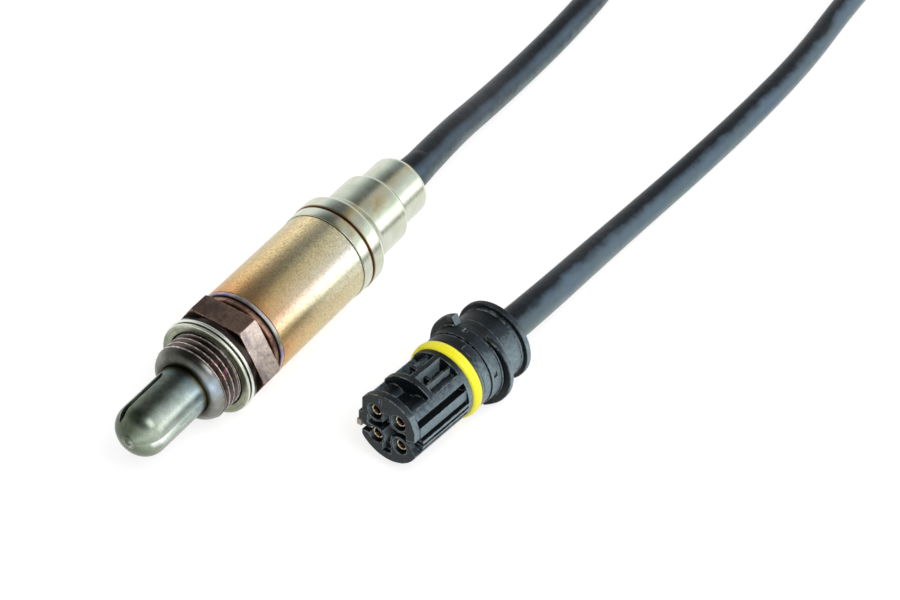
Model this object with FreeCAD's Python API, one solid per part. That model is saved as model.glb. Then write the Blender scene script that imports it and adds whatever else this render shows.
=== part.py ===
import FreeCAD, Part
import math
import os

# Heated four-wire oxygen sensor for an exhaust pipe, lying on its side with its lead and plug.
# All sizes are millimetres. X is the sensor's axis and +X points out of the tip, Z is up.
# The origin is the middle of the thread's free length, on the sensor's axis.
# Pieces are turned about X, so their places are x stations and radii.

os.makedirs("parts", exist_ok=True)

# General clearances and sheet thicknesses
slip = 0.05
seat_gap = 0.1
wire_clearance = 0.05

# Housing: thread, collar and hexagon in one turned piece
thread_radius = 9.0
thread_length = 5.0
nose_length = 2.1
nose_rounding = 2.4
collar_radius = 11.1
collar_length = 1.8
relief_radius = 8.8
hex_across_flats = 22.0
hex_turn = -3.0
hex_thickness = 5.6
hex_chamfer_radius = 12.3
hex_chamfer_depth = 0.5
neck_radius = 9.5
neck_length = 1.2
rear_flange_radius = 10.4
rear_flange_length = 1.5
spigot_length = 5.2
mouth_depth = 2.3

# Folded sealing ring that crushes against the exhaust boss
gasket_width = 2.4
gasket_slack = 0.2
gasket_thickness = 1.7
gasket_fold = 0.7
gasket_web = 1.1

# Slotted protection tube
tube_radius = 5.9
tube_wall = 0.5
tube_reach = 20.7
tube_flange_width = 0.95
tube_flange_slack = 0.15
dome_radius = 8.5
dome_corner_radius = 4.6
louvre_count = 3
louvre_edge_angle = 11.0
louvre_sweep = 17.0
louvre_depth = 1.0
louvre_length = 14.4
louvre_front_gap = 2.7

# Ceramic thimble, its seals and contacts
seal_ring_thickness = 0.4
ceramic_collar_length = 6.0
ceramic_root_radius = 3.9
ceramic_tip_radius = 2.9
ceramic_tip_length = 18.3
ceramic_stub_step = 2.25
ceramic_stub_length = 4.3
ceramic_bore_radius = 1.9
ceramic_tip_wall = 1.0
contact_sheet = 0.3
contact_liner_length = 6.0
contact_clip_length = 4.7
strip_thickness = 0.4
heater_foot_length = 3.6
heater_radius = 1.5
heater_length = 48.0
heater_end_gap = 1.2

# Insulating tube, spring and the sleeve that holds them down
support_tube_length = 23.0
support_tube_slack = 0.4
spring_height = 1.0
spring_sheet = 0.5
retainer_wall = 0.5
retainer_lip_width = 1.9
spring_overhang = 0.3

# Protective sleeve and crimp ring
sleeve_radius = 10.9
sleeve_wall = 0.6
sleeve_length = 29.2
sleeve_tail_radius = 10.5
sleeve_tail_length = 4.6
crimp_ring_length = 1.0
crimp_ring_radius = 10.8

# Stepped rear cap
cap_wall = 0.6
cap_band_length = 2.9
cap_groove_width = 0.6
cap_groove_depth = 0.25
cap_ring_radius = 11.3
cap_ring_length = 1.9
cap_first_step_length = 6.0
cap_middle_radius = 8.85
cap_middle_length = 6.0
cap_second_step_length = 4.6
cap_tail_radius = 7.3
cap_tail_length = 8.7
cap_end_rounding = 1.8
cap_mouth_radius = 4.9

# Terminal holder, terminals and the grommet
holder_radius = 9.8
holder_length = 16.5
holder_depth = 5.4
terminal_radius = 1.2
terminal_length = 9.0
blade_width = 1.6
blade_thickness = 0.4
blade_length = 6.0
blade_overlap = 3.0
lead_radius = 0.75
lead_circle = 1.9
lead_bend_gap = 1.6
grommet_length = 14.0
grommet_neck_length = 6.0
lead_angles = (45.0, 135.0, 225.0, 315.0)

# Cable
cable_radius = 3.4

# Plug: the place and turn of its seal, then its own sizes along its own axis
plug_place = FreeCAD.Vector(-27.55, 42.25, -1.9)
plug_yaw = -5.05
plug_rise = 2.2
carrier_radius = 8.25
carrier_face_x = 18.0
face_disc = 1.6
middle_rib_x = 10.8
middle_rib = 1.2
seal_seat_radius = 7.3
seal_length = 2.5
seal_radius = 9.05
seal_shoulder = 1.4
carrier_spigot_radius = 6.9
carrier_spigot_length = 3.4
socket_y = 3.1
socket_z = 3.1
barrel_radius = 2.35
socket_mouth_radius = 1.9
socket_mouth_depth = 5.0
contact_radius = 1.2
contact_bore_radius = 0.8
contact_length = 23.5
contact_setback = 0.9
rib_root_radius = 2.6
long_ribs = ((42, 50), (33, 36), (-3, 3), (-14, -9), (-45, -20), (148, 156), (206, 214), (262, 278))
middle_ribs = ((91, 99),)
cross_ribs = ((44, 156), (206, 315))
key_slab_y = 7.4
key_slab_low = 0.6
key_slab_high = 3.2
key_notch_y = 6.9
key_notch_end_gap = 0.6
flat_side_y = -6.6
side_wall_y = -3.2
side_wall_height = 3.2
key_rib_y = -7.45
key_rib_low = -1.5
key_rib_high = 0.9
lock_y = -7.35
lock_low = -3.75
lock_high = -2.25
lock_length = 14.0
lock_width = 1.7
cross_width = 1.6
cross_depth = 3.0
cross_left = -5.6
cross_right = 4.6
cross_bottom = -5.8
cross_top = 3.4

shell_band_radius = 8.65
shell_band_length = 2.8
shell_collar_radius = 8.9
shell_collar_length = 3.9
shell_tail_radius = 8.3
shell_length = 16.0
shell_bore_radius = 7.0
end_flange_radius = 9.3
end_flange_width = 1.5
ramp_radius = 10.75
ramp_width = 1.3
ramp_start_angle = 67.0
ramp_full_angle = 12.0
ramp_end_angle = -65.0
core_seal_length = 3.0
core_seal_gap = 1.3
plug_bush_length = 3.0
plug_lead_bend_gap = 1.5


# Shapes turned about the X axis

def turned(corners):
    """A piece turned about X from a closed outline of (x, radius) or (x, radius, rounding)."""
    points = [FreeCAD.Vector(corner[0], 0, corner[1]) for corner in corners]
    count = len(points)
    edges = []
    joins = []
    for index, corner in enumerate(corners):
        here = points[index]
        rounding = corner[2] if len(corner) > 2 else 0
        if rounding <= 0:
            joins.append((here, None, here))
            continue
        back = (points[index - 1] - here).normalize()
        ahead = (points[(index + 1) % count] - here).normalize()
        half = back.getAngle(ahead) / 2
        run = rounding / math.tan(half)
        bisector = (back + ahead).normalize()
        middle = here + bisector * (rounding / math.sin(half) - rounding)
        joins.append((here + back * run, middle, here + ahead * run))
    for index in range(count):
        start, middle, end = joins[index]
        previous_end = joins[index - 1][2]
        if previous_end.distanceToPoint(start) > 1e-5:
            edges.append(Part.LineSegment(previous_end, start).toShape())
        if middle:
            edges.append(Part.Arc(start, middle, end).toShape())
    face = Part.Face(Part.Wire(edges))
    solid = face.revolve(FreeCAD.Vector(0, 0, 0), FreeCAD.Vector(1, 0, 0), 360)
    if solid.Volume < 0:
        solid.reverse()
    return solid


def sheet(corners, wall):
    """A turned sheet-metal piece: the outer outline from front to rear, and its wall inside it."""
    points = [FreeCAD.Vector(corner[0], 0, corner[1]) for corner in corners]
    normals = []
    for first, second in zip(points, points[1:]):
        along = (second - first).normalize()
        normals.append(FreeCAD.Vector(along.z, 0, -along.x))
    inner = []
    for index, point in enumerate(points):
        before = normals[max(index - 1, 0)]
        after = normals[min(index, len(normals) - 1)]
        shift = (before + after) * (wall / (1 + before.dot(after)))
        place = point - shift
        rounding = corners[index][2] if len(corners[index]) > 2 else 0
        if rounding > 0:
            turn = before.x * after.z - before.z * after.x
            rounding = rounding - wall if turn > 0 else rounding + wall
            rounding = max(rounding, 0.05)
        inner.append((place.x, place.z, rounding))
    return turned(list(corners) + inner[::-1])


def rod(x_front, x_rear, radius, y=0, z=0):
    """A plain round rod along X between two stations."""
    return Part.makeCylinder(radius, x_front - x_rear, FreeCAD.Vector(x_rear, y, z), FreeCAD.Vector(1, 0, 0))


def ring(x_front, x_rear, outer, inner):
    return turned([(x_front, inner), (x_front, outer), (x_rear, outer), (x_rear, inner)])


def block(x_front, x_rear, y_low, y_high, z_low, z_high):
    corner = FreeCAD.Vector(x_rear, y_low, z_low)
    return Part.makeBox(x_front - x_rear, y_high - y_low, z_high - z_low, corner)


def spun(shape, degrees):
    """A copy turned about the X axis, from +Y towards +Z."""
    copy = shape.copy()
    copy.rotate(FreeCAD.Vector(0, 0, 0), FreeCAD.Vector(1, 0, 0), degrees)
    return copy


def on_circle(radius, degrees):
    return radius * math.cos(math.radians(degrees)), radius * math.sin(math.radians(degrees))


def tube_along(points, radius, name=""):
    """A round tube along straight runs that tangent arcs join, each as large as its runs allow."""
    points = [FreeCAD.Vector(*point) for point in points]
    edges = []
    radii = []
    last = points[0]
    for before, corner, after in zip(points, points[1:], points[2:]):
        back = (before - corner)
        ahead = (after - corner)
        reach = 0.45 * min(back.Length, ahead.Length)
        half_turn = (math.pi - back.getAngle(ahead)) / 2
        bend = reach / math.tan(half_turn)
        back.normalize()
        ahead.normalize()
        start = corner + back * reach
        end = corner + ahead * reach
        middle = corner + (back + ahead).normalize() * (bend / math.cos(half_turn) - bend)
        edges.append(Part.LineSegment(last, start).toShape())
        edges.append(Part.Arc(start, middle, end).toShape())
        radii.append(bend)
        last = end
    edges.append(Part.LineSegment(last, points[-1]).toShape())
    path = Part.Wire(edges)
    section = Part.Wire(Part.makeCircle(radius, points[0], points[1] - points[0]))
    solid = path.makePipeShell([section], True, False)
    if name:
        expected = math.pi * radius ** 2 * path.Length
        print(name, "length", round(path.Length, 1), "volume ratio", round(solid.Volume / expected, 4))
        print(name, "bend radii", [round(bend, 1) for bend in radii])
    return solid


def save(name, shape):
    assert shape.isValid(), name
    shape.exportStep("parts/" + name + ".step")


# Radii that follow from the tube, the thread and the sleeve
tube_flange_radius = tube_radius + tube_flange_width
housing_bore_radius = tube_flange_radius + tube_flange_slack
ceramic_collar_radius = housing_bore_radius - tube_flange_slack
support_tube_radius = housing_bore_radius - seat_gap
ceramic_stub_radius = ceramic_collar_radius - ceramic_stub_step
support_tube_bore = ceramic_stub_radius + support_tube_slack
terminal_circle = support_tube_bore
retainer_radius = housing_bore_radius + retainer_wall
retainer_lip_radius = retainer_radius - retainer_lip_width
gasket_bore_radius = thread_radius + gasket_slack
gasket_web_radius = gasket_bore_radius + gasket_web
gasket_radius = gasket_bore_radius + gasket_width

# Stations along the sensor's axis, from the thread forwards and rearwards
thread_front_x = thread_length / 2
seat_x = -thread_length / 2
nose_x = thread_front_x + nose_length
collar_x = seat_x - gasket_thickness
hex_front_x = collar_x - collar_length
hex_rear_x = hex_front_x - hex_thickness
neck_rear_x = hex_rear_x - neck_length
flange_rear_x = neck_rear_x - rear_flange_length
spigot_rear_x = flange_rear_x - spigot_length
tube_seat_x = nose_x - mouth_depth
tube_tip_x = thread_front_x + tube_reach
seal_ring_x = tube_seat_x - tube_wall
ceramic_x = seal_ring_x - seal_ring_thickness
ceramic_collar_rear_x = ceramic_x - ceramic_collar_length
ceramic_rear_x = ceramic_collar_rear_x - ceramic_stub_length
ceramic_tip_x = ceramic_x + ceramic_tip_length
ceramic_bore_end_x = ceramic_tip_x - ceramic_tip_wall
support_front_x = ceramic_collar_rear_x - contact_sheet
support_rear_x = support_front_x - support_tube_length
retainer_lip_x = support_rear_x - spring_height
sleeve_x = flange_rear_x - seat_gap - crimp_ring_length
sleeve_rear_x = sleeve_x - sleeve_length
cap_x = sleeve_rear_x - seat_gap
cap_band_radius = sleeve_tail_radius + slip + cap_wall
spigot_radius = sleeve_radius - sleeve_wall - slip
heater_front_x = ceramic_bore_end_x - heater_end_gap
heater_rear_x = heater_front_x - heater_length

# Stations of the rear cap
cap_groove_x = cap_x - cap_band_length
cap_ring_x = cap_groove_x - cap_groove_width
cap_first_step_x = cap_ring_x - cap_ring_length
cap_middle_x = cap_first_step_x - cap_first_step_length
cap_second_step_x = cap_middle_x - cap_middle_length
cap_tail_x = cap_second_step_x - cap_second_step_length
cap_end_x = cap_tail_x - cap_tail_length


def protection_tube():
    """Deep-drawn tube with a domed end and three pressed louvres."""
    dome_turn = math.asin((tube_radius - dome_corner_radius) / (dome_radius - dome_corner_radius))
    flat_corner = dome_radius * math.tan(dome_turn / 2)
    corner_x = tube_tip_x - (tube_radius - flat_corner) * math.tan(dome_turn)
    tube = sheet([
        (tube_tip_x, 0),
        (tube_tip_x, flat_corner, dome_radius),
        (corner_x, tube_radius, dome_corner_radius),
        (tube_seat_x, tube_radius),
        (tube_seat_x, tube_flange_radius),
    ], tube_wall)
    envelope = turned([
        (tube_tip_x, 0),
        (tube_tip_x, flat_corner, dome_radius),
        (corner_x, tube_radius, dome_corner_radius),
        (tube_seat_x, tube_radius),
        (tube_seat_x, 0),
    ])
    front = tube_tip_x - louvre_front_gap
    rear = front - louvre_length
    inner = tube_radius - tube_wall
    for index in range(louvre_count):
        edge = louvre_edge_angle + index * 360.0 / louvre_count
        hinge = edge - louvre_sweep
        window = [on_circle(tube_radius + 1, hinge), on_circle(tube_radius + 1, edge),
                  on_circle(inner - 0.5, edge), on_circle(inner - 0.5, hinge)]
        tube = tube.cut(extruded(window, rear, front))
        flap = [on_circle(tube_radius - slip, hinge - 3), on_circle(tube_radius - louvre_depth, edge - 1),
                on_circle(inner - louvre_depth, edge - 1), on_circle(inner + slip, hinge - 3)]
        tube = tube.fuse(extruded(flap, rear, front).common(envelope))
    return tube.removeSplitter()


def extruded(corners, x_rear, x_front):
    """A straight-sided prism along X over an outline of (y, z) corners."""
    points = [FreeCAD.Vector(x_rear, y, z) for y, z in corners]
    face = Part.Face(Part.makePolygon(points + points[:1]))
    return face.extrude(FreeCAD.Vector(x_front - x_rear, 0, 0))


def sensor_housing():
    """Turned body with the thread, the sealing collar, the hexagon and the rear spigot."""
    body = turned([
        (nose_x, 0),
        (nose_x, thread_radius - slip, nose_rounding),
        (thread_front_x, thread_radius - slip),
        (thread_front_x, thread_radius),
        (seat_x, thread_radius),
        (seat_x, relief_radius),
        (collar_x, relief_radius),
        (collar_x, collar_radius),
        (hex_front_x - 1, collar_radius),
        (hex_front_x - 1, neck_radius),
        (neck_rear_x, neck_radius),
        (neck_rear_x, rear_flange_radius, 0.4),
        (flange_rear_x, rear_flange_radius, 0.4),
        (flange_rear_x, spigot_radius),
        (spigot_rear_x, spigot_radius),
        (spigot_rear_x, 0),
    ])
    corner_radius = hex_across_flats / math.sqrt(3)
    hexagon = extruded([on_circle(corner_radius, 60 * i + hex_turn) for i in range(6)], hex_rear_x, hex_front_x)
    trim = turned([
        (hex_front_x, 0),
        (hex_front_x, hex_chamfer_radius),
        (hex_front_x - hex_chamfer_depth, corner_radius + slip),
        (hex_rear_x + hex_chamfer_depth, corner_radius + slip),
        (hex_rear_x, hex_chamfer_radius),
        (hex_rear_x, 0),
    ])
    body = body.fuse(hexagon.common(trim))
    body = body.cut(rod(nose_x + 1, tube_seat_x - 1, tube_radius + slip))
    body = body.cut(rod(tube_seat_x, spigot_rear_x - 1, housing_bore_radius))
    return body.removeSplitter()


def sealing_gasket():
    """Folded ring with two rolled lips and a groove between them."""
    lip = gasket_fold
    rear = seat_x - gasket_thickness
    return turned([
        (seat_x, gasket_bore_radius, 0.2),
        (seat_x, gasket_radius, 0.3),
        (seat_x - lip, gasket_radius, 0.3),
        (seat_x - lip, gasket_web_radius),
        (rear + lip, gasket_web_radius),
        (rear + lip, gasket_radius, 0.3),
        (rear, gasket_radius, 0.3),
        (rear, gasket_bore_radius),
    ])


def sensor_ceramic():
    """Closed-end ceramic thimble with a thick collar."""
    return turned([
        (ceramic_tip_x, 0),
        (ceramic_tip_x, ceramic_tip_radius, ceramic_tip_radius - 0.2),
        (ceramic_x, ceramic_root_radius),
        (ceramic_x, ceramic_collar_radius, 0.3),
        (ceramic_collar_rear_x, ceramic_collar_radius, 0.3),
        (ceramic_collar_rear_x, ceramic_stub_radius),
        (ceramic_rear_x, ceramic_stub_radius),
        (ceramic_rear_x, ceramic_bore_radius),
        (ceramic_bore_end_x, ceramic_bore_radius, ceramic_bore_radius - 0.2),
        (ceramic_bore_end_x, 0),
    ])


# Terminal holder stations
holder_rear_x = cap_x - holder_depth
holder_front_x = holder_rear_x + holder_length
terminal_rear_x = holder_rear_x + 2.0
grommet_front_x = cap_end_x + cap_wall + grommet_length
neck_end_x = cap_end_x - grommet_neck_length
terminal_front_x = terminal_rear_x + terminal_length + blade_length


def contact_strip(x_front, radius_front):
    """A riser from a contact and a flat strip rearwards, which lies under its terminal's blade."""
    half = blade_width / 2
    outer = terminal_circle - blade_thickness
    inner = outer - strip_thickness
    x_rear = terminal_front_x - blade_overlap
    riser_low = min(radius_front, inner)
    riser_high = max(radius_front, outer)
    riser = block(x_front, x_front - strip_thickness, riser_low, riser_high, -half, half)
    return riser.fuse(block(x_front, x_rear, inner, outer, -half, half))


def inner_contact():
    """Clip that lines the ceramic's bore, grips the heater and carries the signal rearwards."""
    inner = heater_radius + slip
    outer = ceramic_bore_radius - slip
    liner = ring(ceramic_rear_x + contact_liner_length, ceramic_rear_x, outer, inner)
    flange_rear_x = ceramic_rear_x - contact_sheet
    flange = ring(ceramic_rear_x, flange_rear_x, ceramic_stub_radius - 0.2, inner)
    clip = ring(flange_rear_x, flange_rear_x - contact_clip_length, outer, inner)
    strip = spun(contact_strip(flange_rear_x - 1, outer - contact_sheet / 2), lead_angles[0])
    return liner.fuse([flange, clip, strip]).removeSplitter()


def ground_contact():
    """Ring under the ceramic's collar with a strip to its terminal."""
    inner = ceramic_stub_radius + seat_gap
    outer = inner + strip_thickness / 2
    washer = ring(ceramic_collar_rear_x, support_front_x, ceramic_collar_radius, inner)
    riser_x = ceramic_rear_x - contact_sheet - 1
    half = blade_width / 2
    along_stub = block(ceramic_collar_rear_x, riser_x - strip_thickness, inner, outer, -half, half)
    strip = along_stub.fuse(contact_strip(riser_x, outer))
    return washer.fuse(spun(strip, lead_angles[1])).removeSplitter()


def heater_contact(angle):
    """Curved foot on the heater's rear end with a strip to its terminal."""
    outer = heater_radius + strip_thickness
    foot = ring(heater_rear_x + heater_foot_length, heater_rear_x, outer, heater_radius)
    half = blade_width / 2
    foot = foot.common(block(heater_front_x, heater_rear_x, 0, outer, -half, half))
    strip = contact_strip(heater_rear_x + strip_thickness, heater_radius + strip_thickness / 2)
    return spun(foot.fuse(strip), angle).removeSplitter()


def support_tube():
    """Insulating tube that presses the ceramic on to its seat."""
    return ring(support_front_x, support_rear_x, support_tube_radius, support_tube_bore)


def disc_spring():
    """Slightly coned spring washer between the insulating tube and the retainer's lip."""
    outer = support_tube_radius
    inner = retainer_lip_radius - spring_overhang
    rise = spring_height - spring_sheet
    return turned([
        (support_rear_x, outer),
        (support_rear_x - spring_sheet, outer),
        (support_rear_x - spring_sheet - rise, inner),
        (support_rear_x - rise, inner),
    ])


def retaining_sleeve():
    """Inner sleeve welded to the spigot, whose rear lip loads the spring."""
    outer = retainer_radius
    return turned([
        (spigot_rear_x, housing_bore_radius),
        (spigot_rear_x, spigot_radius),
        (spigot_rear_x - retainer_wall, spigot_radius),
        (spigot_rear_x - retainer_wall, outer),
        (retainer_lip_x - retainer_wall, outer, 0.4),
        (retainer_lip_x - retainer_wall, retainer_lip_radius),
        (retainer_lip_x, retainer_lip_radius),
        (retainer_lip_x, housing_bore_radius),
    ])


def crimp_ring():
    """Steel ring that closes the joint between the housing and the sleeve."""
    return turned([
        (sleeve_x + crimp_ring_length, spigot_radius + slip),
        (sleeve_x + crimp_ring_length, crimp_ring_radius, 0.2),
        (sleeve_x, crimp_ring_radius, 0.2),
        (sleeve_x, spigot_radius + slip),
    ])


def protective_sleeve():
    """Drawn sleeve over the spigot, swaged down at its rear to enter the cap."""
    tail_rear_x = sleeve_rear_x - sleeve_tail_length
    return sheet([
        (sleeve_x, sleeve_radius),
        (sleeve_rear_x, sleeve_radius, 0.15),
        (sleeve_rear_x, sleeve_tail_radius, 0.15),
        (tail_rear_x, sleeve_tail_radius),
    ], sleeve_wall)


def drawn_step(x_front, front_radius, rear_radius, length):
    """Corners of a smooth step made of two equal tangent arcs."""
    slope = 2 * math.atan((front_radius - rear_radius) / length)
    bend = length / (2 * math.sin(slope))
    run = bend * math.tan(slope / 2)
    return [(x_front - run, front_radius, bend), (x_front - length + run, rear_radius, bend)]


def rear_cap():
    """Drawn cap in three steps, crimped over the sleeve's tail and on to the grommet."""
    outline = [(cap_x, cap_band_radius), (cap_ring_x, cap_band_radius, 0.1)]
    outline.append((cap_ring_x - (cap_ring_radius - cap_band_radius), cap_ring_radius, 0.1))
    outline += drawn_step(cap_first_step_x, cap_ring_radius, cap_middle_radius, cap_first_step_length)
    outline += drawn_step(cap_second_step_x, cap_middle_radius, cap_tail_radius, cap_second_step_length)
    outline += [(cap_end_x, cap_tail_radius, cap_end_rounding), (cap_end_x, cap_mouth_radius)]
    cap = sheet(outline, cap_wall)
    groove = ring(cap_groove_x, cap_ring_x, cap_ring_radius + 1, cap_band_radius - cap_groove_depth)
    return cap.cut(groove)


# Route of the cable's centre line, from the grommet to the plug's bush, chosen by hand.
# It runs down on to the surface, turns back in one wide bend and climbs to the plug.
cable_route = [
    (-81.4, 0.0, 0.0),
    (-97.0, -1.4, -1.0),
    (-114.0, -3.4, -4.9),
    (-133.0, -5.3, -8.2),
    (-155.0, -5.7, -8.5),
    (-180.0, -7.4, -8.5),
    (-204.0, -12.6, -8.5),
    (-228.0, -20.0, -8.5),
    (-253.0, -22.5, -8.5),
    (-277.0, -14.0, -8.5),
    (-291.0, 6.0, -8.5),
    (-291.5, 31.0, -8.5),
    (-277.5, 52.0, -8.5),
    (-254.0, 61.0, -8.5),
    (-229.0, 55.0, -8.5),
    (-204.0, 48.6, -8.5),
    (-178.0, 49.8, -8.5),
    (-151.0, 49.2, -8.5),
    (-125.0, 47.5, -8.5),
    (-101.0, 45.4, -8.3),
    (-79.0, 45.1, -5.7),
    (-61.0, 45.205, -3.191),
    (-46.066, 43.886, -2.614),
]

# Space behind the plane in which the cable meets the grommet's neck
start_direction = FreeCAD.Vector(*cable_route[1]) - FreeCAD.Vector(*cable_route[0])
beyond_start = Part.makeCylinder(10, 10, FreeCAD.Vector(*cable_route[0]), start_direction)


def terminal_holder():
    """Insulating bush with four bores for the terminals."""
    holder = rod(holder_front_x, holder_rear_x, holder_radius)
    for angle in lead_angles:
        y, z = on_circle(terminal_circle, angle)
        holder = holder.cut(rod(holder_front_x + 1, holder_rear_x - 1, terminal_radius + wire_clearance, y, z))
    return holder


def terminal(angle):
    """Crimp barrel on the lead's end with a flat blade forwards."""
    y, z = on_circle(terminal_circle, angle)
    barrel = rod(terminal_rear_x + terminal_length, terminal_rear_x, terminal_radius, y, z)
    bore = rod(terminal_rear_x + terminal_length / 2, terminal_rear_x - 1, lead_radius, y, z)
    half = blade_width / 2
    blade = block(terminal_front_x, terminal_rear_x + terminal_length - 0.5,
                  terminal_circle - blade_thickness, terminal_circle, -half, half)
    return barrel.cut(bore).fuse(spun(blade, angle)).removeSplitter()


def sensor_lead(angle):
    """Insulated core from its terminal through the grommet to the cable's end."""
    wide = on_circle(terminal_circle, angle)
    near = on_circle(lead_circle, angle)
    return tube_along([
        (terminal_rear_x + terminal_length / 2, *wide),
        (holder_rear_x - lead_bend_gap, *wide),
        (grommet_front_x + 2 * lead_bend_gap, *near),
        (neck_end_x - 1, *near),
    ], lead_radius).cut(beyond_start)


def cable_grommet():
    """Rubber plug crimped in the cap's tail, with a flared neck that the cable leaves."""
    tail = cap_tail_radius - cap_wall - slip
    neck = cap_mouth_radius - slip
    grommet = turned([
        (grommet_front_x, 0),
        (grommet_front_x, tail, 0.4),
        (cap_end_x + cap_wall, tail, cap_end_rounding - cap_wall + slip),
        (cap_end_x + cap_wall, neck),
        (cap_end_x, neck),
        (cap_end_x - grommet_neck_length * 0.45, cable_radius + 0.35, 3.0),
        (neck_end_x - 1, cable_radius + 0.1),
        (neck_end_x - 1, 0),
    ])
    for angle in lead_angles:
        y, z = on_circle(lead_circle, angle)
        hole = rod(grommet_front_x + 1, neck_end_x - 2, lead_radius + wire_clearance, y, z)
        grommet = grommet.cut(hole)
    return grommet.cut(beyond_start)


# The plug, built along its own X axis with the seal's front face at zero, then placed

def placed(shape):
    turn = FreeCAD.Rotation(plug_yaw, -plug_rise, 0)
    copy = shape.copy()
    copy.Placement = FreeCAD.Placement(plug_place, turn).multiply(copy.Placement)
    return copy


shell_front_x = -seal_length - seat_gap
shell_rear_x = shell_front_x - shell_length
sockets = [(socket_y, socket_z), (-socket_y, socket_z), (-socket_y, -socket_z), (socket_y, -socket_z)]


def sector(angles, x_front, x_rear):
    """A rib between two angles, from the barrels out to the carrier's radius."""
    first, last = angles
    middle = (first + last) / 2
    outer = [FreeCAD.Vector(x_rear, *on_circle(carrier_radius, angle)) for angle in (first, middle, last)]
    inner = [FreeCAD.Vector(x_rear, *on_circle(rib_root_radius, angle)) for angle in (first, last)]
    edges = [Part.LineSegment(inner[0], outer[0]).toShape(), Part.Arc(*outer).toShape(),
             Part.LineSegment(outer[2], inner[1]).toShape(), Part.LineSegment(inner[1], inner[0]).toShape()]
    return Part.Face(Part.Wire(edges)).extrude(FreeCAD.Vector(x_front - x_rear, 0, 0))


def contact_carrier():
    """Moulded skeleton: face disc, middle rib, shoulder, ribs, key slab and four barrels."""
    face = carrier_face_x
    disc_rear = face - face_disc
    spigot_end = shell_front_x - carrier_spigot_length
    carrier = rod(face, disc_rear, carrier_radius)
    parts = [rod(seal_shoulder, 0, carrier_radius),
             rod(0, shell_front_x, seal_seat_radius),
             rod(shell_front_x, spigot_end, carrier_spigot_radius),
             block(face, 0, -socket_y, socket_y, -socket_z, socket_z),
             block(face, 0, flat_side_y, side_wall_y, -side_wall_height, side_wall_height),
             block(face, 0, socket_y, key_slab_y, key_slab_low, key_slab_high)]
    for y, z in sockets:
        parts.append(rod(face, 0, barrel_radius, y, z))
    for angles in long_ribs:
        parts.append(sector(angles, face, 0))
    for angles in cross_ribs:
        parts.append(sector(angles, middle_rib_x, middle_rib_x - middle_rib))
    for angles in middle_ribs:
        parts.append(sector(angles, middle_rib_x, 0))
    carrier = carrier.fuse(parts)
    side_flat = block(face + 1, seal_shoulder, -carrier_radius - 1, flat_side_y, -carrier_radius, carrier_radius)
    carrier = carrier.cut(side_flat)
    key = block(face, middle_rib_x, key_rib_y, side_wall_y, key_rib_low, key_rib_high)
    carrier = carrier.fuse(key)
    lock_slot = block(face + 1, face - contact_setback - lock_length - seat_gap,
                      lock_y - 1, lock_y + lock_width + seat_gap, lock_low - seat_gap, lock_high + seat_gap)
    notch = block(face + 1, disc_rear - key_notch_end_gap, key_notch_y, carrier_radius + 1, key_slab_low, key_slab_high)
    half = cross_width / 2
    cross = block(face + 1, face - cross_depth, cross_left, cross_right, -half, half)
    upright = block(face + 1, face - cross_depth, -half, half, cross_bottom, cross_top)
    carrier = carrier.cut([cross, upright, lock_slot, notch])
    for y, z in sockets:
        mouth = rod(face + 1, face - socket_mouth_depth, socket_mouth_radius, y, z)
        bore = rod(face, spigot_end - 1, contact_radius + slip, y, z)
        carrier = carrier.cut([mouth, bore])
    return carrier


def contact_lock():
    """Small slide that locks the contacts after they are pushed home."""
    front = carrier_face_x - contact_setback + seat_gap
    return block(front, front - lock_length, lock_y, lock_y + lock_width, lock_low, lock_high)


def socket_contact(y, z):
    """Turned brass socket with a crimp end."""
    front = carrier_face_x - contact_setback
    rear = front - contact_length
    body = rod(front, rear, contact_radius, y, z)
    mouth = rod(front + 1, front - 9, contact_bore_radius, y, z)
    crimp = rod(rear + 4, rear - 1, lead_radius, y, z)
    return body.cut([mouth, crimp])


def seal_ring():
    """Soft ring that seals the plug in its mating half."""
    return turned([
        (0, seal_seat_radius + slip),
        (0, seal_radius - 0.2, 0.5),
        (-seal_length, seal_radius, 0.5),
        (-seal_length, seal_seat_radius + slip),
    ])


def bayonet_ramp():
    """One rising ramp of the quarter-turn lock, as an outline across the axis."""
    def at(radius, degrees):
        y, z = on_circle(radius, degrees)
        return FreeCAD.Vector(0, y, z)
    foot = shell_tail_radius - 0.5
    middle_ramp = (ramp_start_angle + ramp_full_angle) / 2
    middle_full = (ramp_end_angle + ramp_full_angle) / 2
    middle_foot = (ramp_end_angle + ramp_start_angle) / 2
    swell = (shell_collar_radius + ramp_radius) / 2 + 0.3
    edges = [
        Part.LineSegment(at(foot, ramp_end_angle), at(ramp_radius, ramp_end_angle)).toShape(),
        Part.Arc(at(ramp_radius, ramp_end_angle), at(ramp_radius, middle_full),
                 at(ramp_radius, ramp_full_angle)).toShape(),
        Part.Arc(at(ramp_radius, ramp_full_angle), at(swell, middle_ramp),
                 at(shell_collar_radius, ramp_start_angle)).toShape(),
        Part.LineSegment(at(shell_collar_radius, ramp_start_angle), at(foot, ramp_start_angle)).toShape(),
        Part.Arc(at(foot, ramp_start_angle), at(foot, middle_foot), at(foot, ramp_end_angle)).toShape(),
    ]
    front = shell_front_x - shell_band_length - shell_collar_length
    ramp = Part.Face(Part.Wire(edges)).extrude(FreeCAD.Vector(-ramp_width, 0, 0))
    ramp.translate(FreeCAD.Vector(front, 0, 0))
    return ramp


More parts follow.
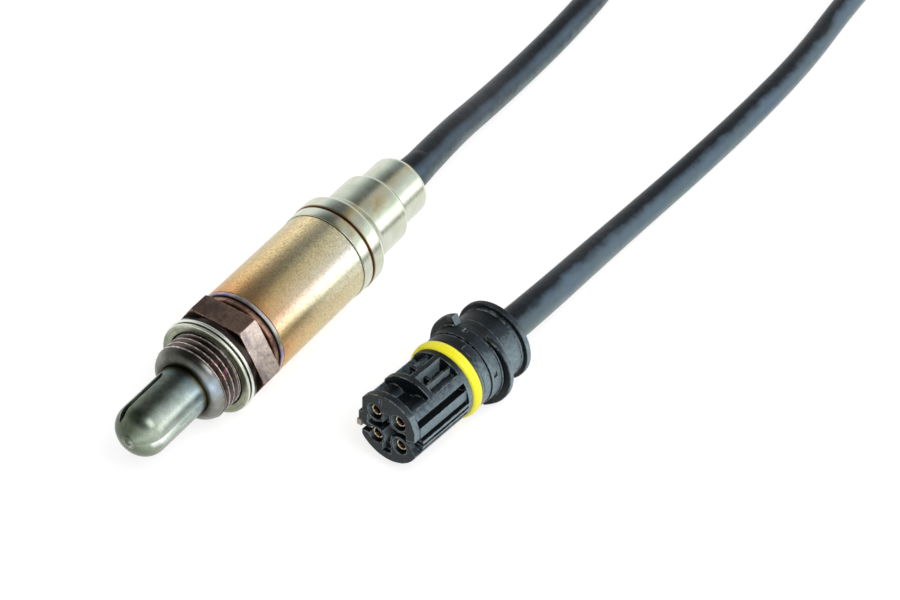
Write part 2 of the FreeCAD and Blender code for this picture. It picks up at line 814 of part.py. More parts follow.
def plug_shell():
    """Moulded shell with the bayonet ramps and the end flange."""
    band_rear = shell_front_x - shell_band_length
    collar_rear = band_rear - shell_collar_length
    flange_front = shell_rear_x + end_flange_width
    shell = turned([
        (shell_front_x, shell_bore_radius),
        (shell_front_x, shell_band_radius, 0.3),
        (band_rear, shell_band_radius),
        (band_rear, shell_collar_radius, 0.2),
        (collar_rear, shell_collar_radius),
        (collar_rear - ramp_width, shell_tail_radius),
        (flange_front, shell_tail_radius, 0.5),
        (flange_front, end_flange_radius, 0.4),
        (shell_rear_x, end_flange_radius, 0.4),
        (shell_rear_x, shell_bore_radius),
    ])
    ramp = bayonet_ramp().cut(rod(shell_front_x, shell_rear_x, shell_bore_radius + 0.3))
    return shell.fuse([ramp, spun(ramp, 180)]).removeSplitter()


core_seal_front_x = shell_front_x - carrier_spigot_length - core_seal_gap
core_seal_rear_x = core_seal_front_x - core_seal_length
bush_front_x = shell_rear_x + plug_bush_length


def core_seal():
    """Rubber seal round the four cores behind the contacts."""
    seal = rod(core_seal_front_x, core_seal_rear_x, shell_bore_radius - slip)
    for y, z in sockets:
        hole = rod(core_seal_front_x + 1, core_seal_rear_x - 1, lead_radius + wire_clearance, y, z)
        seal = seal.cut(hole)
    return seal


def plug_bush():
    """Rubber bush that closes the shell's rear where the cable leaves it."""
    bush = rod(bush_front_x, shell_rear_x, shell_bore_radius - slip)
    for y, z in sockets:
        angle = math.degrees(math.atan2(z, y))
        near_y, near_z = on_circle(lead_circle, angle)
        bush = bush.cut(rod(bush_front_x + 1, shell_rear_x - 1, lead_radius + wire_clearance, near_y, near_z))
    return bush


def plug_lead(y, z):
    """Insulated core from its contact to the cable's end."""
    angle = math.degrees(math.atan2(z, y))
    near = on_circle(lead_circle, angle)
    rear = carrier_face_x - contact_setback - contact_length
    return tube_along([
        (rear + 4, y, z),
        (core_seal_rear_x - plug_lead_bend_gap, y, z),
        (bush_front_x + plug_lead_bend_gap, *near),
        (shell_rear_x, *near),
    ], lead_radius)


print("cap end", round(cap_end_x, 2), "cable starts", cable_route[0][0])
print("grommet neck end", round(neck_end_x, 2))
print("plug rear", placed(Part.Vertex(FreeCAD.Vector(shell_rear_x, 0, 0))).Point)
print("behind the plug", placed(Part.Vertex(FreeCAD.Vector(shell_rear_x - 15, 0, 0))).Point)

save("protection_tube", protection_tube())
save("sensor_housing", sensor_housing())
save("sealing_gasket", sealing_gasket())
seal_bore_radius = tube_radius - tube_wall
save("seat_seal_ring", ring(seal_ring_x, ceramic_x, ceramic_collar_radius, seal_bore_radius))
save("sensor_ceramic", sensor_ceramic())
save("inner_contact", inner_contact())
save("ground_contact", ground_contact())
save("heater_rod", rod(heater_front_x, heater_rear_x, heater_radius))
save("heater_contact_1", heater_contact(lead_angles[2]))
save("heater_contact_2", heater_contact(lead_angles[3]))
save("ceramic_support_tube", support_tube())
save("disc_spring", disc_spring())
save("retaining_sleeve", retaining_sleeve())
save("crimp_ring", crimp_ring())
save("protective_sleeve", protective_sleeve())
save("rear_cap", rear_cap())
save("terminal_holder", terminal_holder())
for number, angle in enumerate(lead_angles, 1):
    save("terminal_%d" % number, terminal(angle))
    save("sensor_lead_%d" % number, sensor_lead(angle))
save("cable_grommet", cable_grommet())
save("cable", tube_along(cable_route, cable_radius, "cable"))
save("contact_carrier", placed(contact_carrier()))
save("contact_lock", placed(contact_lock()))
save("plug_seal_ring", placed(seal_ring()))
save("plug_shell", placed(plug_shell()))
save("core_seal", placed(core_seal()))
save("plug_bush", placed(plug_bush()))
for number, (y, z) in enumerate(sockets, 1):
    save("socket_contact_%d" % number, placed(socket_contact(y, z)))
    save("plug_lead_%d" % number, placed(plug_lead(y, z)))
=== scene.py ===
import bpy
import bmesh
import math
from mathutils import Matrix, Vector


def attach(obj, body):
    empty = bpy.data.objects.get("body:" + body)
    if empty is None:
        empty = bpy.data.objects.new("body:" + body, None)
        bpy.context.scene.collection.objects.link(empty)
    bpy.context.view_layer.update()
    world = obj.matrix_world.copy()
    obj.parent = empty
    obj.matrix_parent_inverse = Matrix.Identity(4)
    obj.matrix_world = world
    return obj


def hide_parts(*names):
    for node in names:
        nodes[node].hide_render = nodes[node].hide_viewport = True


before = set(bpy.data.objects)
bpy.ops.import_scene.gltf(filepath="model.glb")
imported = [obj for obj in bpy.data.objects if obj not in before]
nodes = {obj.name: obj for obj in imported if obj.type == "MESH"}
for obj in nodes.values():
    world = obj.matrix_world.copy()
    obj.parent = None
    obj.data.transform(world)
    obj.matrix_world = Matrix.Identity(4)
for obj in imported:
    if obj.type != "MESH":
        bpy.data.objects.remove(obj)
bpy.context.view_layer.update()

# The sensor lies on a pale table under soft studio light. The camera looks down on it from in
# front of the tip, from the plug's side.

camera_place = (0.28378, 0.24819, 0.35782)
camera_right = Vector((-0.548, 0.8365, 0.0)).normalized()
camera_ahead = Vector((-0.6213, -0.407, -0.6695)).normalized()
camera_up = camera_right.cross(camera_ahead)
camera = bpy.data.objects.new("camera", bpy.data.cameras.new("camera"))
camera.data.sensor_width = 36
camera.data.lens = 99.96
camera.data.clip_start = 0.01
camera.matrix_world = Matrix.Translation(camera_place) @ Matrix(
    (camera_right, camera_up, -camera_ahead)).transposed().to_4x4()
bpy.context.scene.collection.objects.link(camera)
bpy.context.scene.camera = camera
bpy.context.scene.view_settings.view_transform = "Standard"


def connect(tree, node, inputs):
    """Links the inputs that are sockets and sets the others."""
    for name, value in inputs.items():
        if isinstance(value, bpy.types.NodeSocket):
            tree.links.new(value, node.inputs[name])
        else:
            node.inputs[name].default_value = value


def put(tree, kind, inputs=None, **settings):
    """Adds one shader node."""
    node = tree.nodes.new("ShaderNode" + kind)
    for name, value in settings.items():
        setattr(node, name, value)
    connect(tree, node, inputs or {})
    return node


def reckon(tree, operation, *values):
    """One step of arithmetic."""
    return put(tree, "Math", dict(enumerate(values)), operation=operation).outputs[0]


table_z = -0.012
table_half = 3.0
table = bpy.data.objects.new("table", bpy.data.meshes.new("table"))
table.data.from_pydata([(x * table_half, y * table_half, table_z) for x, y in ((-1, -1), (1, -1), (1, 1), (-1, 1))],
                       [], [(0, 1, 2, 3)])
bpy.context.scene.collection.objects.link(table)
table_white = bpy.data.materials.new("table_white")
table_white.use_nodes = True
tree = table_white.node_tree
tree.nodes.clear()
ray = put(tree, "LightPath").outputs
seen = reckon(tree, "MAXIMUM", ray["Is Camera Ray"], ray["Is Glossy Ray"])
seen = reckon(tree, "MAXIMUM", seen, ray["Is Transmission Ray"])
paper = put(tree, "BsdfDiffuse", {"Color": (0.8, 0.8, 0.8, 1)})
paper_seen = put(tree, "BsdfDiffuse", {"Color": (0.42, 0.42, 0.42, 1)})
lift = put(tree, "Emission", {"Color": (1, 1, 1, 1), "Strength": 0.74})
bright = put(tree, "AddShader", {0: paper_seen.outputs[0], 1: lift.outputs[0]})
both = put(tree, "MixShader", {0: seen, 1: paper.outputs[0], 2: bright.outputs[0]})
put(tree, "OutputMaterial", {"Surface": both.outputs[0]})
table.data.materials.append(table_white)

# Studio: bright walls and a dark ceiling. A wide soft box stands high behind the sensor, a low strip
# draws the long streak on the metal, a small key lights the plug, and the matt surfaces have a soft
# lamp overhead.


def ramp(tree, value, *stops):
    """A colour ramp. A stop is a position with a colour, or with one level for a grey."""
    node = put(tree, "ValToRGB", {"Fac": value})
    elements = node.color_ramp.elements
    ends = [elements[0], elements[1]]
    for stop in (stops[0], stops[-1], *stops[1:-1]):
        element = ends.pop(0) if ends else elements.new(stop[0])
        element.position = stop[0]
        element.color = (*(stop[1:] if len(stop) > 2 else stop[1:] * 3), 1)
    return node.outputs["Color"]


world = bpy.data.worlds.new("studio")
bpy.context.scene.world = world
world.use_nodes = True
tree = world.node_tree
tree.nodes.clear()
direction = put(tree, "TexCoord")
height = put(tree, "SeparateXYZ", {0: direction.outputs["Generated"]})
walls = ramp(tree, height.outputs["Z"], (0.0, 1.0), (0.25, 1.0), (0.36, 1.0), (0.48, 0.8), (0.58, 0.45),
             (0.68, 0.2), (1.0, 0.08, 0.08, 0.085))
sky = put(tree, "Background", {"Color": walls, "Strength": 1.0})
put(tree, "OutputWorld", {"Surface": sky.outputs[0]})
lamp_aim = Vector((-0.03, 0.02, 0))


def soft_panel(name, place, width, height, power, glossy=True):
    """One rectangular soft light that points at the sensor."""
    lamp = bpy.data.lights.new(name, "AREA")
    lamp.shape = "RECTANGLE"
    lamp.size = width
    lamp.size_y = height
    lamp.energy = power
    panel = bpy.data.objects.new(name, lamp)
    panel.location = place
    panel.rotation_euler = (lamp_aim - Vector(place)).to_track_quat("-Z", "Y").to_euler()
    panel.visible_glossy = glossy
    bpy.context.scene.collection.objects.link(panel)


soft_panel("soft_box", (-0.774, 0.488, 0.816), 1.2, 0.75, 1.5)
soft_panel("low_strip", (-0.65, 0.8, 0.15), 0.9, 0.35, 1.15)
soft_panel("small_key", (-0.008, 0.669, 0.891), 0.6, 0.6, 3.0)
soft_panel("overhead", (0.3, 0.35, 0.9), 0.6, 0.6, 3.0, False)

# The cable: four cores in a smooth black rubber sheath. It leaves the sensor's rear, lies on the
# table, turns back in one wide bend outside the view and climbs into the plug.

cable_route = [
    (-0.0814, 0.0, 0.0), (-0.097, -0.0014, -0.001), (-0.114, -0.0034, -0.0049),
    (-0.133, -0.0053, -0.0082), (-0.155, -0.0057, -0.0085), (-0.18, -0.0074, -0.0085),
    (-0.204, -0.0126, -0.0085), (-0.228, -0.02, -0.0085), (-0.253, -0.0225, -0.0085),
    (-0.277, -0.014, -0.0085), (-0.291, 0.006, -0.0085), (-0.2915, 0.031, -0.0085),
    (-0.279, 0.05, -0.0085), (-0.254, 0.0535, -0.0085), (-0.229, 0.0475, -0.0085),
    (-0.204, 0.0478, -0.0085), (-0.178, 0.0498, -0.0085), (-0.151, 0.0492, -0.0085),
    (-0.125, 0.0475, -0.0085), (-0.101, 0.0454, -0.0083), (-0.079, 0.0451, -0.0057),
    (-0.061, 0.045205, -0.003191), (-0.046066, 0.043886, -0.002614),
]
cable_radius = 0.0034
cable_swell = [1.13, 1.05] + [1.03] * 4 + [1.0] * 8 + [0.95, 0.92, 0.92, 0.97, 0.98, 0.99, 1.04, 1.08, 1.12]
cable_curve = bpy.data.curves.new("cable_sheath", "CURVE")
cable_curve.dimensions = "3D"
cable_curve.bevel_depth = cable_radius
cable_curve.bevel_resolution = 10
cable_curve.resolution_u = 14
cable_curve.use_fill_caps = True
cable_line = cable_curve.splines.new("NURBS")
cable_line.points.add(len(cable_route) - 1)
for point, place, swell in zip(cable_line.points, cable_route, cable_swell):
    point.co = (*place, 1)
    point.radius = swell
cable_line.order_u = 3
cable_line.use_endpoint_u = True
cable = bpy.data.objects.new("cable_sheath", cable_curve)
bpy.context.scene.collection.objects.link(cable)


def new_material(name):
    """An empty material with its shader and output, and the coordinates in millimetres."""
    material = bpy.data.materials.new(name)
    material.use_nodes = True
    tree = material.node_tree
    tree.nodes.clear()
    shader = put(tree, "BsdfPrincipled")
    put(tree, "OutputMaterial", {"Surface": shader.outputs[0]})
    place = put(tree, "TexCoord").outputs["Object"]
    scaled = put(tree, "VectorMath", {0: place, 1: (1000, 1000, 1000)}, operation="MULTIPLY")
    return material, tree, shader, scaled.outputs[0]


def finish(tree, shader, color, roughness, normal, metallic=0):
    """Joins a material's colour, roughness and relief to its shader."""
    connect(tree, shader, {"Base Color": color, "Roughness": roughness, "Normal": normal, "Metallic": metallic})


def socket_group(name, takes, gives):
    """A shader node group with named inputs and outputs."""
    group = bpy.data.node_groups.new(name, "ShaderNodeTree")
    for socket, kind, value in takes:
        made = group.interface.new_socket(socket, in_out="INPUT", socket_type="NodeSocket" + kind)
        if value is not None:
            made.default_value = value
    for socket, kind in gives:
        group.interface.new_socket(socket, in_out="OUTPUT", socket_type="NodeSocket" + kind)
    return group, group.nodes.new("NodeGroupInput").outputs, group.nodes.new("NodeGroupOutput")


def use_group(tree, group, inputs):
    """Places a group in a material with its own values."""
    node = tree.nodes.new("ShaderNodeGroup")
    node.node_tree = group
    connect(tree, node, inputs)
    return node.outputs


def span(tree, value, first, last, low=0.0, high=1.0):
    """A value carried from one range to another and held at its ends."""
    limits = {"From Min": first, "From Max": last, "To Min": low, "To Max": high}
    return put(tree, "MapRange", {"Value": value, **limits}).outputs[0]


def mix(tree, share, first, second, blend="MIX"):
    """Two colours mixed by a share."""
    return put(tree, "Mix", {0: share, 6: first, 7: second}, data_type="RGBA", blend_type=blend).outputs[2]


def noise(tree, place, scale, detail=4.0, roughness=0.6):
    """Soft random shading, finer with a larger scale."""
    values = {"Vector": place, "Scale": scale, "Detail": detail, "Roughness": roughness}
    return put(tree, "TexNoise", values).outputs["Fac"]


def relief(tree, height, strength, depth, **below):
    """The normal of a fine relief, perhaps on another one."""
    return put(tree, "Bump", {"Height": height, "Strength": strength, "Distance": depth, **below}).outputs["Normal"]


grain_group, given, result = socket_group(
    "moulded_grain", [("Place", "Vector", None), ("Size", "Float", 1.0), ("Depth", "Float", 0.1)],
    [("Normal", "Vector"), ("Mask", "Float")])
fine = noise(grain_group, given["Place"], given["Size"], 3.0)
connect(grain_group, result, {"Normal": relief(grain_group, fine, given["Depth"], 0.0002), "Mask": fine})

# A mask of the surfaces that face one side, in soft patches: it paints light and highlights on that side.
side_light_group, given, result = socket_group(
    "painted_side_light", [("Place", "Vector", None), ("Facing", "Vector", None), ("Side", "Vector", (0.05, 0.95, 0.1)),
                   ("Size", "Float", 0.3), ("Patchy", "Float", 0.5), ("Low", "Float", 0.1), ("High", "Float", 0.9)],
    [("Mask", "Float")])
side = put(side_light_group, "VectorMath", {0: given["Facing"], 1: given["Side"]}, operation="DOT_PRODUCT")
patches = reckon(side_light_group, "SUBTRACT", noise(side_light_group, given["Place"], given["Size"]), 0.5)
lifted = reckon(side_light_group, "MULTIPLY_ADD", patches, given["Patchy"], side.outputs["Value"])
connect(side_light_group, result, {"Mask": span(side_light_group, lifted, given["Low"], given["High"])})

speck_group, given, result = socket_group(
    "oxide_specks", [("Place", "Vector", None), ("Size", "Float", 2.0), ("Cover", "Float", 0.5)], [("Mask", "Float")])
dots = noise(speck_group, given["Place"], given["Size"], 5.0, 0.75)
low = reckon(speck_group, "SUBTRACT", 0.62, given["Cover"])
high = reckon(speck_group, "ADD", low, 0.22)
connect(speck_group, result, {"Mask": span(speck_group, dots, low, high)})


def times(tree, first, second):
    """Two masks multiplied."""
    return reckon(tree, "MULTIPLY", first, second)


def speckle(tree, place, size, cover):
    """Mask of fine specks."""
    return use_group(tree, speck_group, {"Place": place, "Size": size, "Cover": cover})["Mask"]


def black_rubber(name, swell_depth):
    """Smooth black rubber with a painted bluish highlight along its upper side and painted light low on its plug
    side.
    """
    material, tree, shader, place = new_material(name)
    facing = put(tree, "TexCoord").outputs["Normal"]
    plug_side = span(tree, put(tree, "SeparateXYZ", {0: place}).outputs["Y"], 8.0, 32.0)
    # Painted highlight: a bluish sheen along the upper side.
    sheen = use_group(tree, side_light_group, {
        "Place": place, "Facing": facing, "Side": (0.0, 0.78, 0.62), "Size": 0.12,
        "Patchy": span(tree, plug_side, 0.0, 1.0, 0.16, 0.75),
        "Low": span(tree, plug_side, 0.0, 1.0, 0.88, 0.78), "High": 1.06})
    # Painted light on the side towards the plug, in soft patches.
    side_light = use_group(tree, side_light_group, {
        "Place": place, "Facing": facing, "Side": (0.0, 0.97, -0.22), "Size": 0.25,
        "Low": span(tree, plug_side, 0.0, 1.0, 0.75, 0.3), "High": 1.15})
    shade = mix(tree, side_light["Mask"], (0.007, 0.009, 0.012, 1), (0.17, 0.235, 0.24, 1))
    shade = mix(tree, sheen["Mask"], shade, (0.085, 0.13, 0.175, 1))
    flecks = speckle(tree, place, 2.2, 0.0)
    shade = mix(tree, times(tree, flecks, 0.1), shade, (0.3, 0.33, 0.34, 1))
    grain = use_group(tree, grain_group, {"Place": place, "Size": 2.6, "Depth": 0.3})
    swell = relief(tree, noise(tree, place, 0.16, 2.0), swell_depth, 0.0012, Normal=grain["Normal"])
    finish(tree, shader, shade, span(tree, grain["Mask"], 0.3, 0.7, 0.28, 0.42), swell)
    connect(tree, shader, {"Specular IOR Level": 0.25, "Specular Tint": (0.7, 0.86, 1.0, 1)})
    return material


sheath_rubber = black_rubber("sheath_rubber", 0.2)
cable.data.materials.append(sheath_rubber)
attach(cable, "root")
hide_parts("cable")

# Protection tube: thin stainless steel, deep-drawn with a domed end, with three louvres pressed
# inwards to let the gas in, and a small dimple from the draw at the tip.

millimetre = 0.001


def about_axis(x, radius, angle):
    """A point at a station, a radius and an angle round the X axis."""
    return Vector((x, radius * math.cos(angle), radius * math.sin(angle)))


def rounded(corners, steps=6):
    """Points of an outline whose corners (x, radius, rounding) are turned into arcs."""
    points = []
    count = len(corners)
    for index, corner in enumerate(corners):
        here = Vector(corner[:2])
        rounding = corner[2] if len(corner) > 2 else 0
        if rounding <= 0:
            points.append(here)
            continue
        back = (Vector(corners[index - 1][:2]) - here).normalized()
        ahead = (Vector(corners[(index + 1) % count][:2]) - here).normalized()
        half = back.angle(ahead) / 2
        run = rounding / math.tan(half)
        centre = here + (back + ahead).normalized() * (rounding / math.sin(half))
        start = here + back * run - centre
        turn = start.angle_signed(here + ahead * run - centre)
        for step in range(steps + 1):
            points.append(centre + Matrix.Rotation(-turn * step / steps, 2) @ start)
    return points


def mark_edges(form, sharp):
    """Smooth shading everywhere, with the edges above an angle kept crisp."""
    for face in form.faces:
        face.smooth = True
    for edge in form.edges:
        if len(edge.link_faces) != 2 or edge.calc_face_angle(0) > math.radians(sharp):
            edge.smooth = False


def piece_of(name, rows, closed, sharp=32, place=None, slits=()):
    """A piece from rows of points round an axis. Equal points merge, and slits are left open."""
    mesh = bpy.data.meshes.new(name)
    form = bmesh.new()
    grid = [[form.verts.new(point * millimetre) for point in row] for row in rows]
    across = len(grid[0])
    pairs = list(zip(grid, grid[1:]))
    if closed:
        pairs.append((grid[-1], grid[0]))
    for first, second in pairs:
        for index in range(across):
            if index not in slits:
                after = (index + 1) % across
                form.faces.new((first[index], first[after], second[after], second[index]))
    bmesh.ops.remove_doubles(form, verts=form.verts, dist=1e-7)
    bmesh.ops.dissolve_degenerate(form, edges=form.edges, dist=1e-7)
    bmesh.ops.recalc_face_normals(form, faces=form.faces)
    mark_edges(form, sharp)
    form.to_mesh(mesh)
    form.free()
    made = bpy.data.objects.new(name, mesh)
    if place:
        made.matrix_world = place
    bpy.context.scene.collection.objects.link(made)
    return made


def turned(name, corners, around=180, place=None):
    """A piece turned about its own X axis from a closed outline."""
    angles = [math.tau * step / around for step in range(around)]
    rows = [[about_axis(p.x, p.y, a) for a in angles] for p in rounded(corners)]
    return piece_of(name, rows, True, place=place)


def fit_piece(piece, material, slot, *replaced):
    """Gives a piece its material and its place on the part."""
    piece.data.materials.clear()
    piece.data.materials.append(material)
    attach(piece, "root")
    if replaced:
        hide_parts(*replaced)
    return piece


tube_radius = 5.9
tube_wall = 0.5
tube_tip = 23.2
tube_seat = 2.3
tip_arc = 8.5
shoulder_arc = 4.6
arcs_meet = 19.47
flange_radius = 6.85
louvre_front = 22.0
louvre_rear = 6.6
louvre_depth = 1.15
louvre_edge = 11
louvre_sweep = 17.0
louvre_pitch = 120
outline = [(tube_tip - 0.18, 0.0), (tube_tip - 0.16, 0.7), (tube_tip - 0.05, 1.15), (tube_tip - 0.09, 1.6)]
dome_centre = tube_tip - 4.823
for step in range(1, 6):
    lean = math.radians(6 + (arcs_meet - 6) * step / 5)
    outline.append((tube_tip - tip_arc + tip_arc * math.cos(lean), tip_arc * math.sin(lean)))
for step in range(1, 13):
    lean = math.radians(arcs_meet + (90 - arcs_meet) * step / 12)
    outline.append((dome_centre + shoulder_arc * math.cos(lean),
                    tube_radius - shoulder_arc + shoulder_arc * math.sin(lean)))
station = dome_centre - 0.4
while station > tube_seat + 0.3:
    outline.append((station, tube_radius))
    station -= 0.3
outline += [(tube_seat + 0.2, tube_radius), (tube_seat, tube_radius + 0.2), (tube_seat, flange_radius)]


def louvre_fall(x, degrees):
    """How far the louvre nearest to this angle is pressed in at a point of the tube."""
    behind = (louvre_edge - degrees) % louvre_pitch
    if behind > louvre_sweep or not louvre_rear < x < louvre_front:
        return 0.0
    along = min((x - louvre_rear) / 2.6, (louvre_front - x) / 2.4, 1.0)
    return louvre_depth * math.sin(along * math.pi / 2) * (1 - behind / louvre_sweep) ** 0.8


tube_angles = []
for degrees in range(360):
    tube_angles.append((degrees, False))
    if (degrees - louvre_edge) % louvre_pitch == 0:
        tube_angles.append((degrees, True))
tube_rows = []
for x, radius in outline:
    falls = [0.0 if lifted else louvre_fall(x, degrees) for degrees, lifted in tube_angles]
    tube_rows.append([about_axis(x, radius - min(fall, radius * 0.5), math.radians(degrees))
                      for fall, (degrees, _) in zip(falls, tube_angles)])
slits = [index for index in range(len(tube_angles) - 1) if tube_angles[index + 1][1]]
slotted_tube = piece_of("slotted_tube", tube_rows, False, 40, slits=slits)
wall = slotted_tube.modifiers.new("wall", "SOLIDIFY")
wall.thickness = tube_wall * millimetre
wall.offset = -1

around_group, given, result = socket_group(
    "round_the_axis", [("Place", "Vector", None)],
    [("Station", "Float"), ("Reach", "Float"), ("Wrapped", "Vector"), ("Turn", "Float")])
parts = put(around_group, "SeparateXYZ", {0: given["Place"]}).outputs
spoke = put(around_group, "CombineXYZ", {"Y": parts["Y"], "Z": parts["Z"]}).outputs[0]
unit = put(around_group, "VectorMath", {0: spoke}, operation="NORMALIZE").outputs[0]
unit = put(around_group, "SeparateXYZ", {0: unit}).outputs
connect(around_group, result, {
    "Station": parts["X"],
    "Reach": put(around_group, "VectorMath", {0: spoke}, operation="LENGTH").outputs["Value"],
    "Wrapped": put(around_group, "CombineXYZ", {"X": parts["X"], "Y": unit["Y"], "Z": unit["Z"]}).outputs[0],
    "Turn": reckon(around_group, "ARCTAN2", parts["Z"], parts["Y"])})

turning_group, given, result = socket_group(
    "turning_marks", [("Place", "Vector", None), ("Fineness", "Float", 6.0), ("Depth", "Float", 0.1)],
    [("Normal", "Vector"), ("Mask", "Float")])
wrap = use_group(turning_group, around_group, {"Place": given["Place"]})
lines = put(turning_group, "VectorMath", {0: wrap["Wrapped"], 1: (1.0, 0.16, 0.16)}, operation="MULTIPLY")
scores = noise(turning_group, lines.outputs[0], given["Fineness"], 4.0, 0.65)
connect(turning_group, result, {"Normal": relief(turning_group, scores, given["Depth"], 0.0001), "Mask": scores})

# Edge mask: bare worn metal on the hexagon, painted edge highlights on the tube and the plug.
edge_wear_and_highlight_group, given, result = socket_group(
    "edge_wear_and_highlight", [("Place", "Vector", None), ("Width", "Float", 0.0003), ("Broken", "Float", 1.0)],
    [("Mask", "Float")])
soft_edge = put(edge_wear_and_highlight_group, "Bevel", {"Radius": given["Width"]}, samples=6).outputs[0]
flat = put(edge_wear_and_highlight_group, "NewGeometry").outputs["Normal"]
agree = put(edge_wear_and_highlight_group, "VectorMath", {0: soft_edge, 1: flat}, operation="DOT_PRODUCT").outputs["Value"]
chips = noise(edge_wear_and_highlight_group, given["Place"], given["Broken"], 4.0, 0.7)
connect(edge_wear_and_highlight_group, result, {"Mask": times(
    edge_wear_and_highlight_group, span(edge_wear_and_highlight_group, agree, 0.992, 0.93), span(edge_wear_and_highlight_group, chips, 0.42, 0.6))})


def bright_edges(tree, place, width, broken):
    """Mask of sharp edges, broken by noise: worn bare metal on the hexagon, painted edge highlights on the tube and
    plug.
    """
    return use_group(tree, edge_wear_and_highlight_group, {"Place": place, "Width": width, "Broken": broken})["Mask"]


def turned_metal(name, fineness, depth):
    """A new metal with its coordinates round the axis and marks that run round it."""
    material, tree, shader, place = new_material(name)
    wrap = use_group(tree, around_group, {"Place": place})
    marks = use_group(tree, turning_group, {"Place": place, "Fineness": fineness, "Depth": depth})
    return material, tree, shader, place, wrap, marks


def tint(tree, first, second):
    """Two colours multiplied."""
    return mix(tree, 1.0, first, second, "MULTIPLY")


def band(tree, value, rise, fall):
    """A mask that rises over one range of a value and falls over another."""
    return times(tree, span(tree, value, *rise), span(tree, value, *fall))


tube_steel, tree, shader, place, wrap, marks = turned_metal("tube_steel", 3.0, 0.1)
cloud = noise(tree, place, 0.4, 5.0, 0.65)
steel = ramp(tree, cloud, (0.3, 0.42, 0.48, 0.4), (0.5, 0.56, 0.62, 0.55), (0.72, 0.66, 0.74, 0.68))
heat = ramp(tree, span(tree, wrap["Station"], 4.0, 24.0), (0.0, 0.3, 0.22, 0.14), (0.05, 0.85, 0.66, 0.4),
            (0.1, 0.62, 0.76, 0.95), (0.22, 0.86, 0.93, 1.0), (0.6, 1), (0.8, 0.95, 0.97, 0.9),
            (0.9, 0.62, 0.65, 0.56), (1.0, 0.4, 0.42, 0.34))
tinted = tint(tree, steel, heat)
# Painted shade: the upper side of the tube is darkened, in soft patches.
upper_shade = span(tree, noise(tree, place, 0.9, 5.0, 0.7), 0.3, 0.62, 0.8, 1.0)
upper_shade = times(tree, span(tree, wrap["Turn"], 0.66, 1.36), upper_shade)
tinted = mix(tree, upper_shade, tinted, tint(tree, tinted, (0.24, 0.25, 0.2, 1)))
# Painted light and shade round the tube, by the angle of its surface.
turn_light = ramp(tree, span(tree, wrap["Turn"], -0.5, 0.9), (0.0, 0.45, 0.46, 0.44), (0.36, 0.72, 0.74, 0.72),
             (0.46, 0.95, 0.96, 0.93), (0.5, 0.74, 0.76, 0.76), (0.62, 0.72, 0.75, 0.76), (0.75, 1),
             (1.0, 0.86, 0.9, 0.95))
tinted = tint(tree, tinted, turn_light)
# Painted highlight: a pale gleam along the pressed-in louvre near the tip.
gleam = times(tree, band(tree, wrap["Turn"], (-0.1, 0.02), (0.215, 0.185)),
              band(tree, wrap["Station"], (12.5, 19.5), (21.6, 20.8)))
tinted = mix(tree, gleam, tinted, (0.98, 1.0, 0.96, 1))
specks = speckle(tree, place, 2.6, 0.12)
tinted = mix(tree, times(tree, specks, 0.5), tinted, (0.13, 0.14, 0.1, 1))
# Painted highlights: pale lines along the edges and the louvre slits.
edge = bright_edges(tree, place, 0.00025, 0.3)
finish(tree, shader, mix(tree, edge, tinted, (0.8, 0.8, 0.74, 1)),
       span(tree, cloud, 0.3, 0.7, 0.28, 0.36), marks["Normal"], 1)
fit_piece(slotted_tube, tube_steel, "stainless_tube", "protection_tube")

# Threaded body: the front of the turned steel housing, with a rounded lip rolled over the tube's
# flange, an M18 thread with four worn crests, a relief and the sealing collar.

thread_radius = 9.0
thread_pitch = 1.5
thread_depth = 0.92
thread_front = 2.5
thread_rear = -2.5
thread_step = 0.0625
crest_share = 0.9
flank_share = 0.78
nose_front = 4.6
nose_radius = thread_radius - 0.05
mouth_radius = 5.95
bore_radius = 7.0
relief_radius = 8.55
collar_front = -4.2
collar_rear = -6.0
collar_radius = 11.1


def thread_fall(x, turns):
    """Depth of the thread's groove at a station and a share of one turn."""
    place = ((x - thread_front) / thread_pitch + turns) % 1.0
    crest = abs(2 * place - 1)
    cut = min(max((crest_share - crest) / flank_share, 0), 1) ** 0.8
    start = min(max((thread_front - 0.15 - x) / 0.7, 0), 1)
    end = min(max((x - thread_rear) / 0.5, 0), 1)
    return thread_depth * cut * min(start, end)


def finish_turned(tree, shader, color, marks, smooth, rough):
    """Joins a turned metal's colour and marks to its shader."""
    finish(tree, shader, color, span(tree, marks["Mask"], 0.3, 0.7, smooth, rough), marks["Normal"], 1)


angles = [math.tau * step / 240 for step in range(240)]
lip = rounded([(tube_seat, bore_radius), (tube_seat, mouth_radius), (nose_front, mouth_radius, 0.25),
               (nose_front, nose_radius, 2.4), (thread_front - 0.2, nose_radius)], 10)[1:-1]
body_rows = [[about_axis(point.x, point.y, angle) for angle in angles] for point in lip]
station = thread_front
while station > thread_rear - 0.01:
    body_rows.append([about_axis(station, thread_radius - thread_fall(station, angle / math.tau), angle)
                      for angle in angles])
    station -= thread_step
for x, radius in ((thread_rear, relief_radius), (collar_front, relief_radius), (collar_front, collar_radius - 0.1),
                  (collar_front - 0.1, collar_radius), (collar_rear, collar_radius), (collar_rear, 9.0),
                  (collar_rear, bore_radius), (tube_seat, bore_radius)):
    body_rows.append([about_axis(x, radius, angle) for angle in angles])
threaded_body = piece_of("threaded_body", body_rows, True, 40)

thread_steel, tree, shader, place, wrap, marks = turned_metal("thread_steel", 5.0, 0.22)
cloud = noise(tree, place, 0.45, 5.0, 0.65)
# Darker behind the nose; darkest over the relief and collar, between thread, gasket and hexagon: painted shade there.
along = ramp(tree, span(tree, wrap["Station"], -6.0, 5.0), (0.0, 0.055, 0.045, 0.04), (0.28, 0.08, 0.065, 0.055),
             (0.34, 0.13, 0.105, 0.095), (0.74, 0.17, 0.145, 0.13), (0.8, 0.34, 0.35, 0.33),
             (0.93, 0.42, 0.44, 0.44), (1.0, 0.3, 0.31, 0.27))
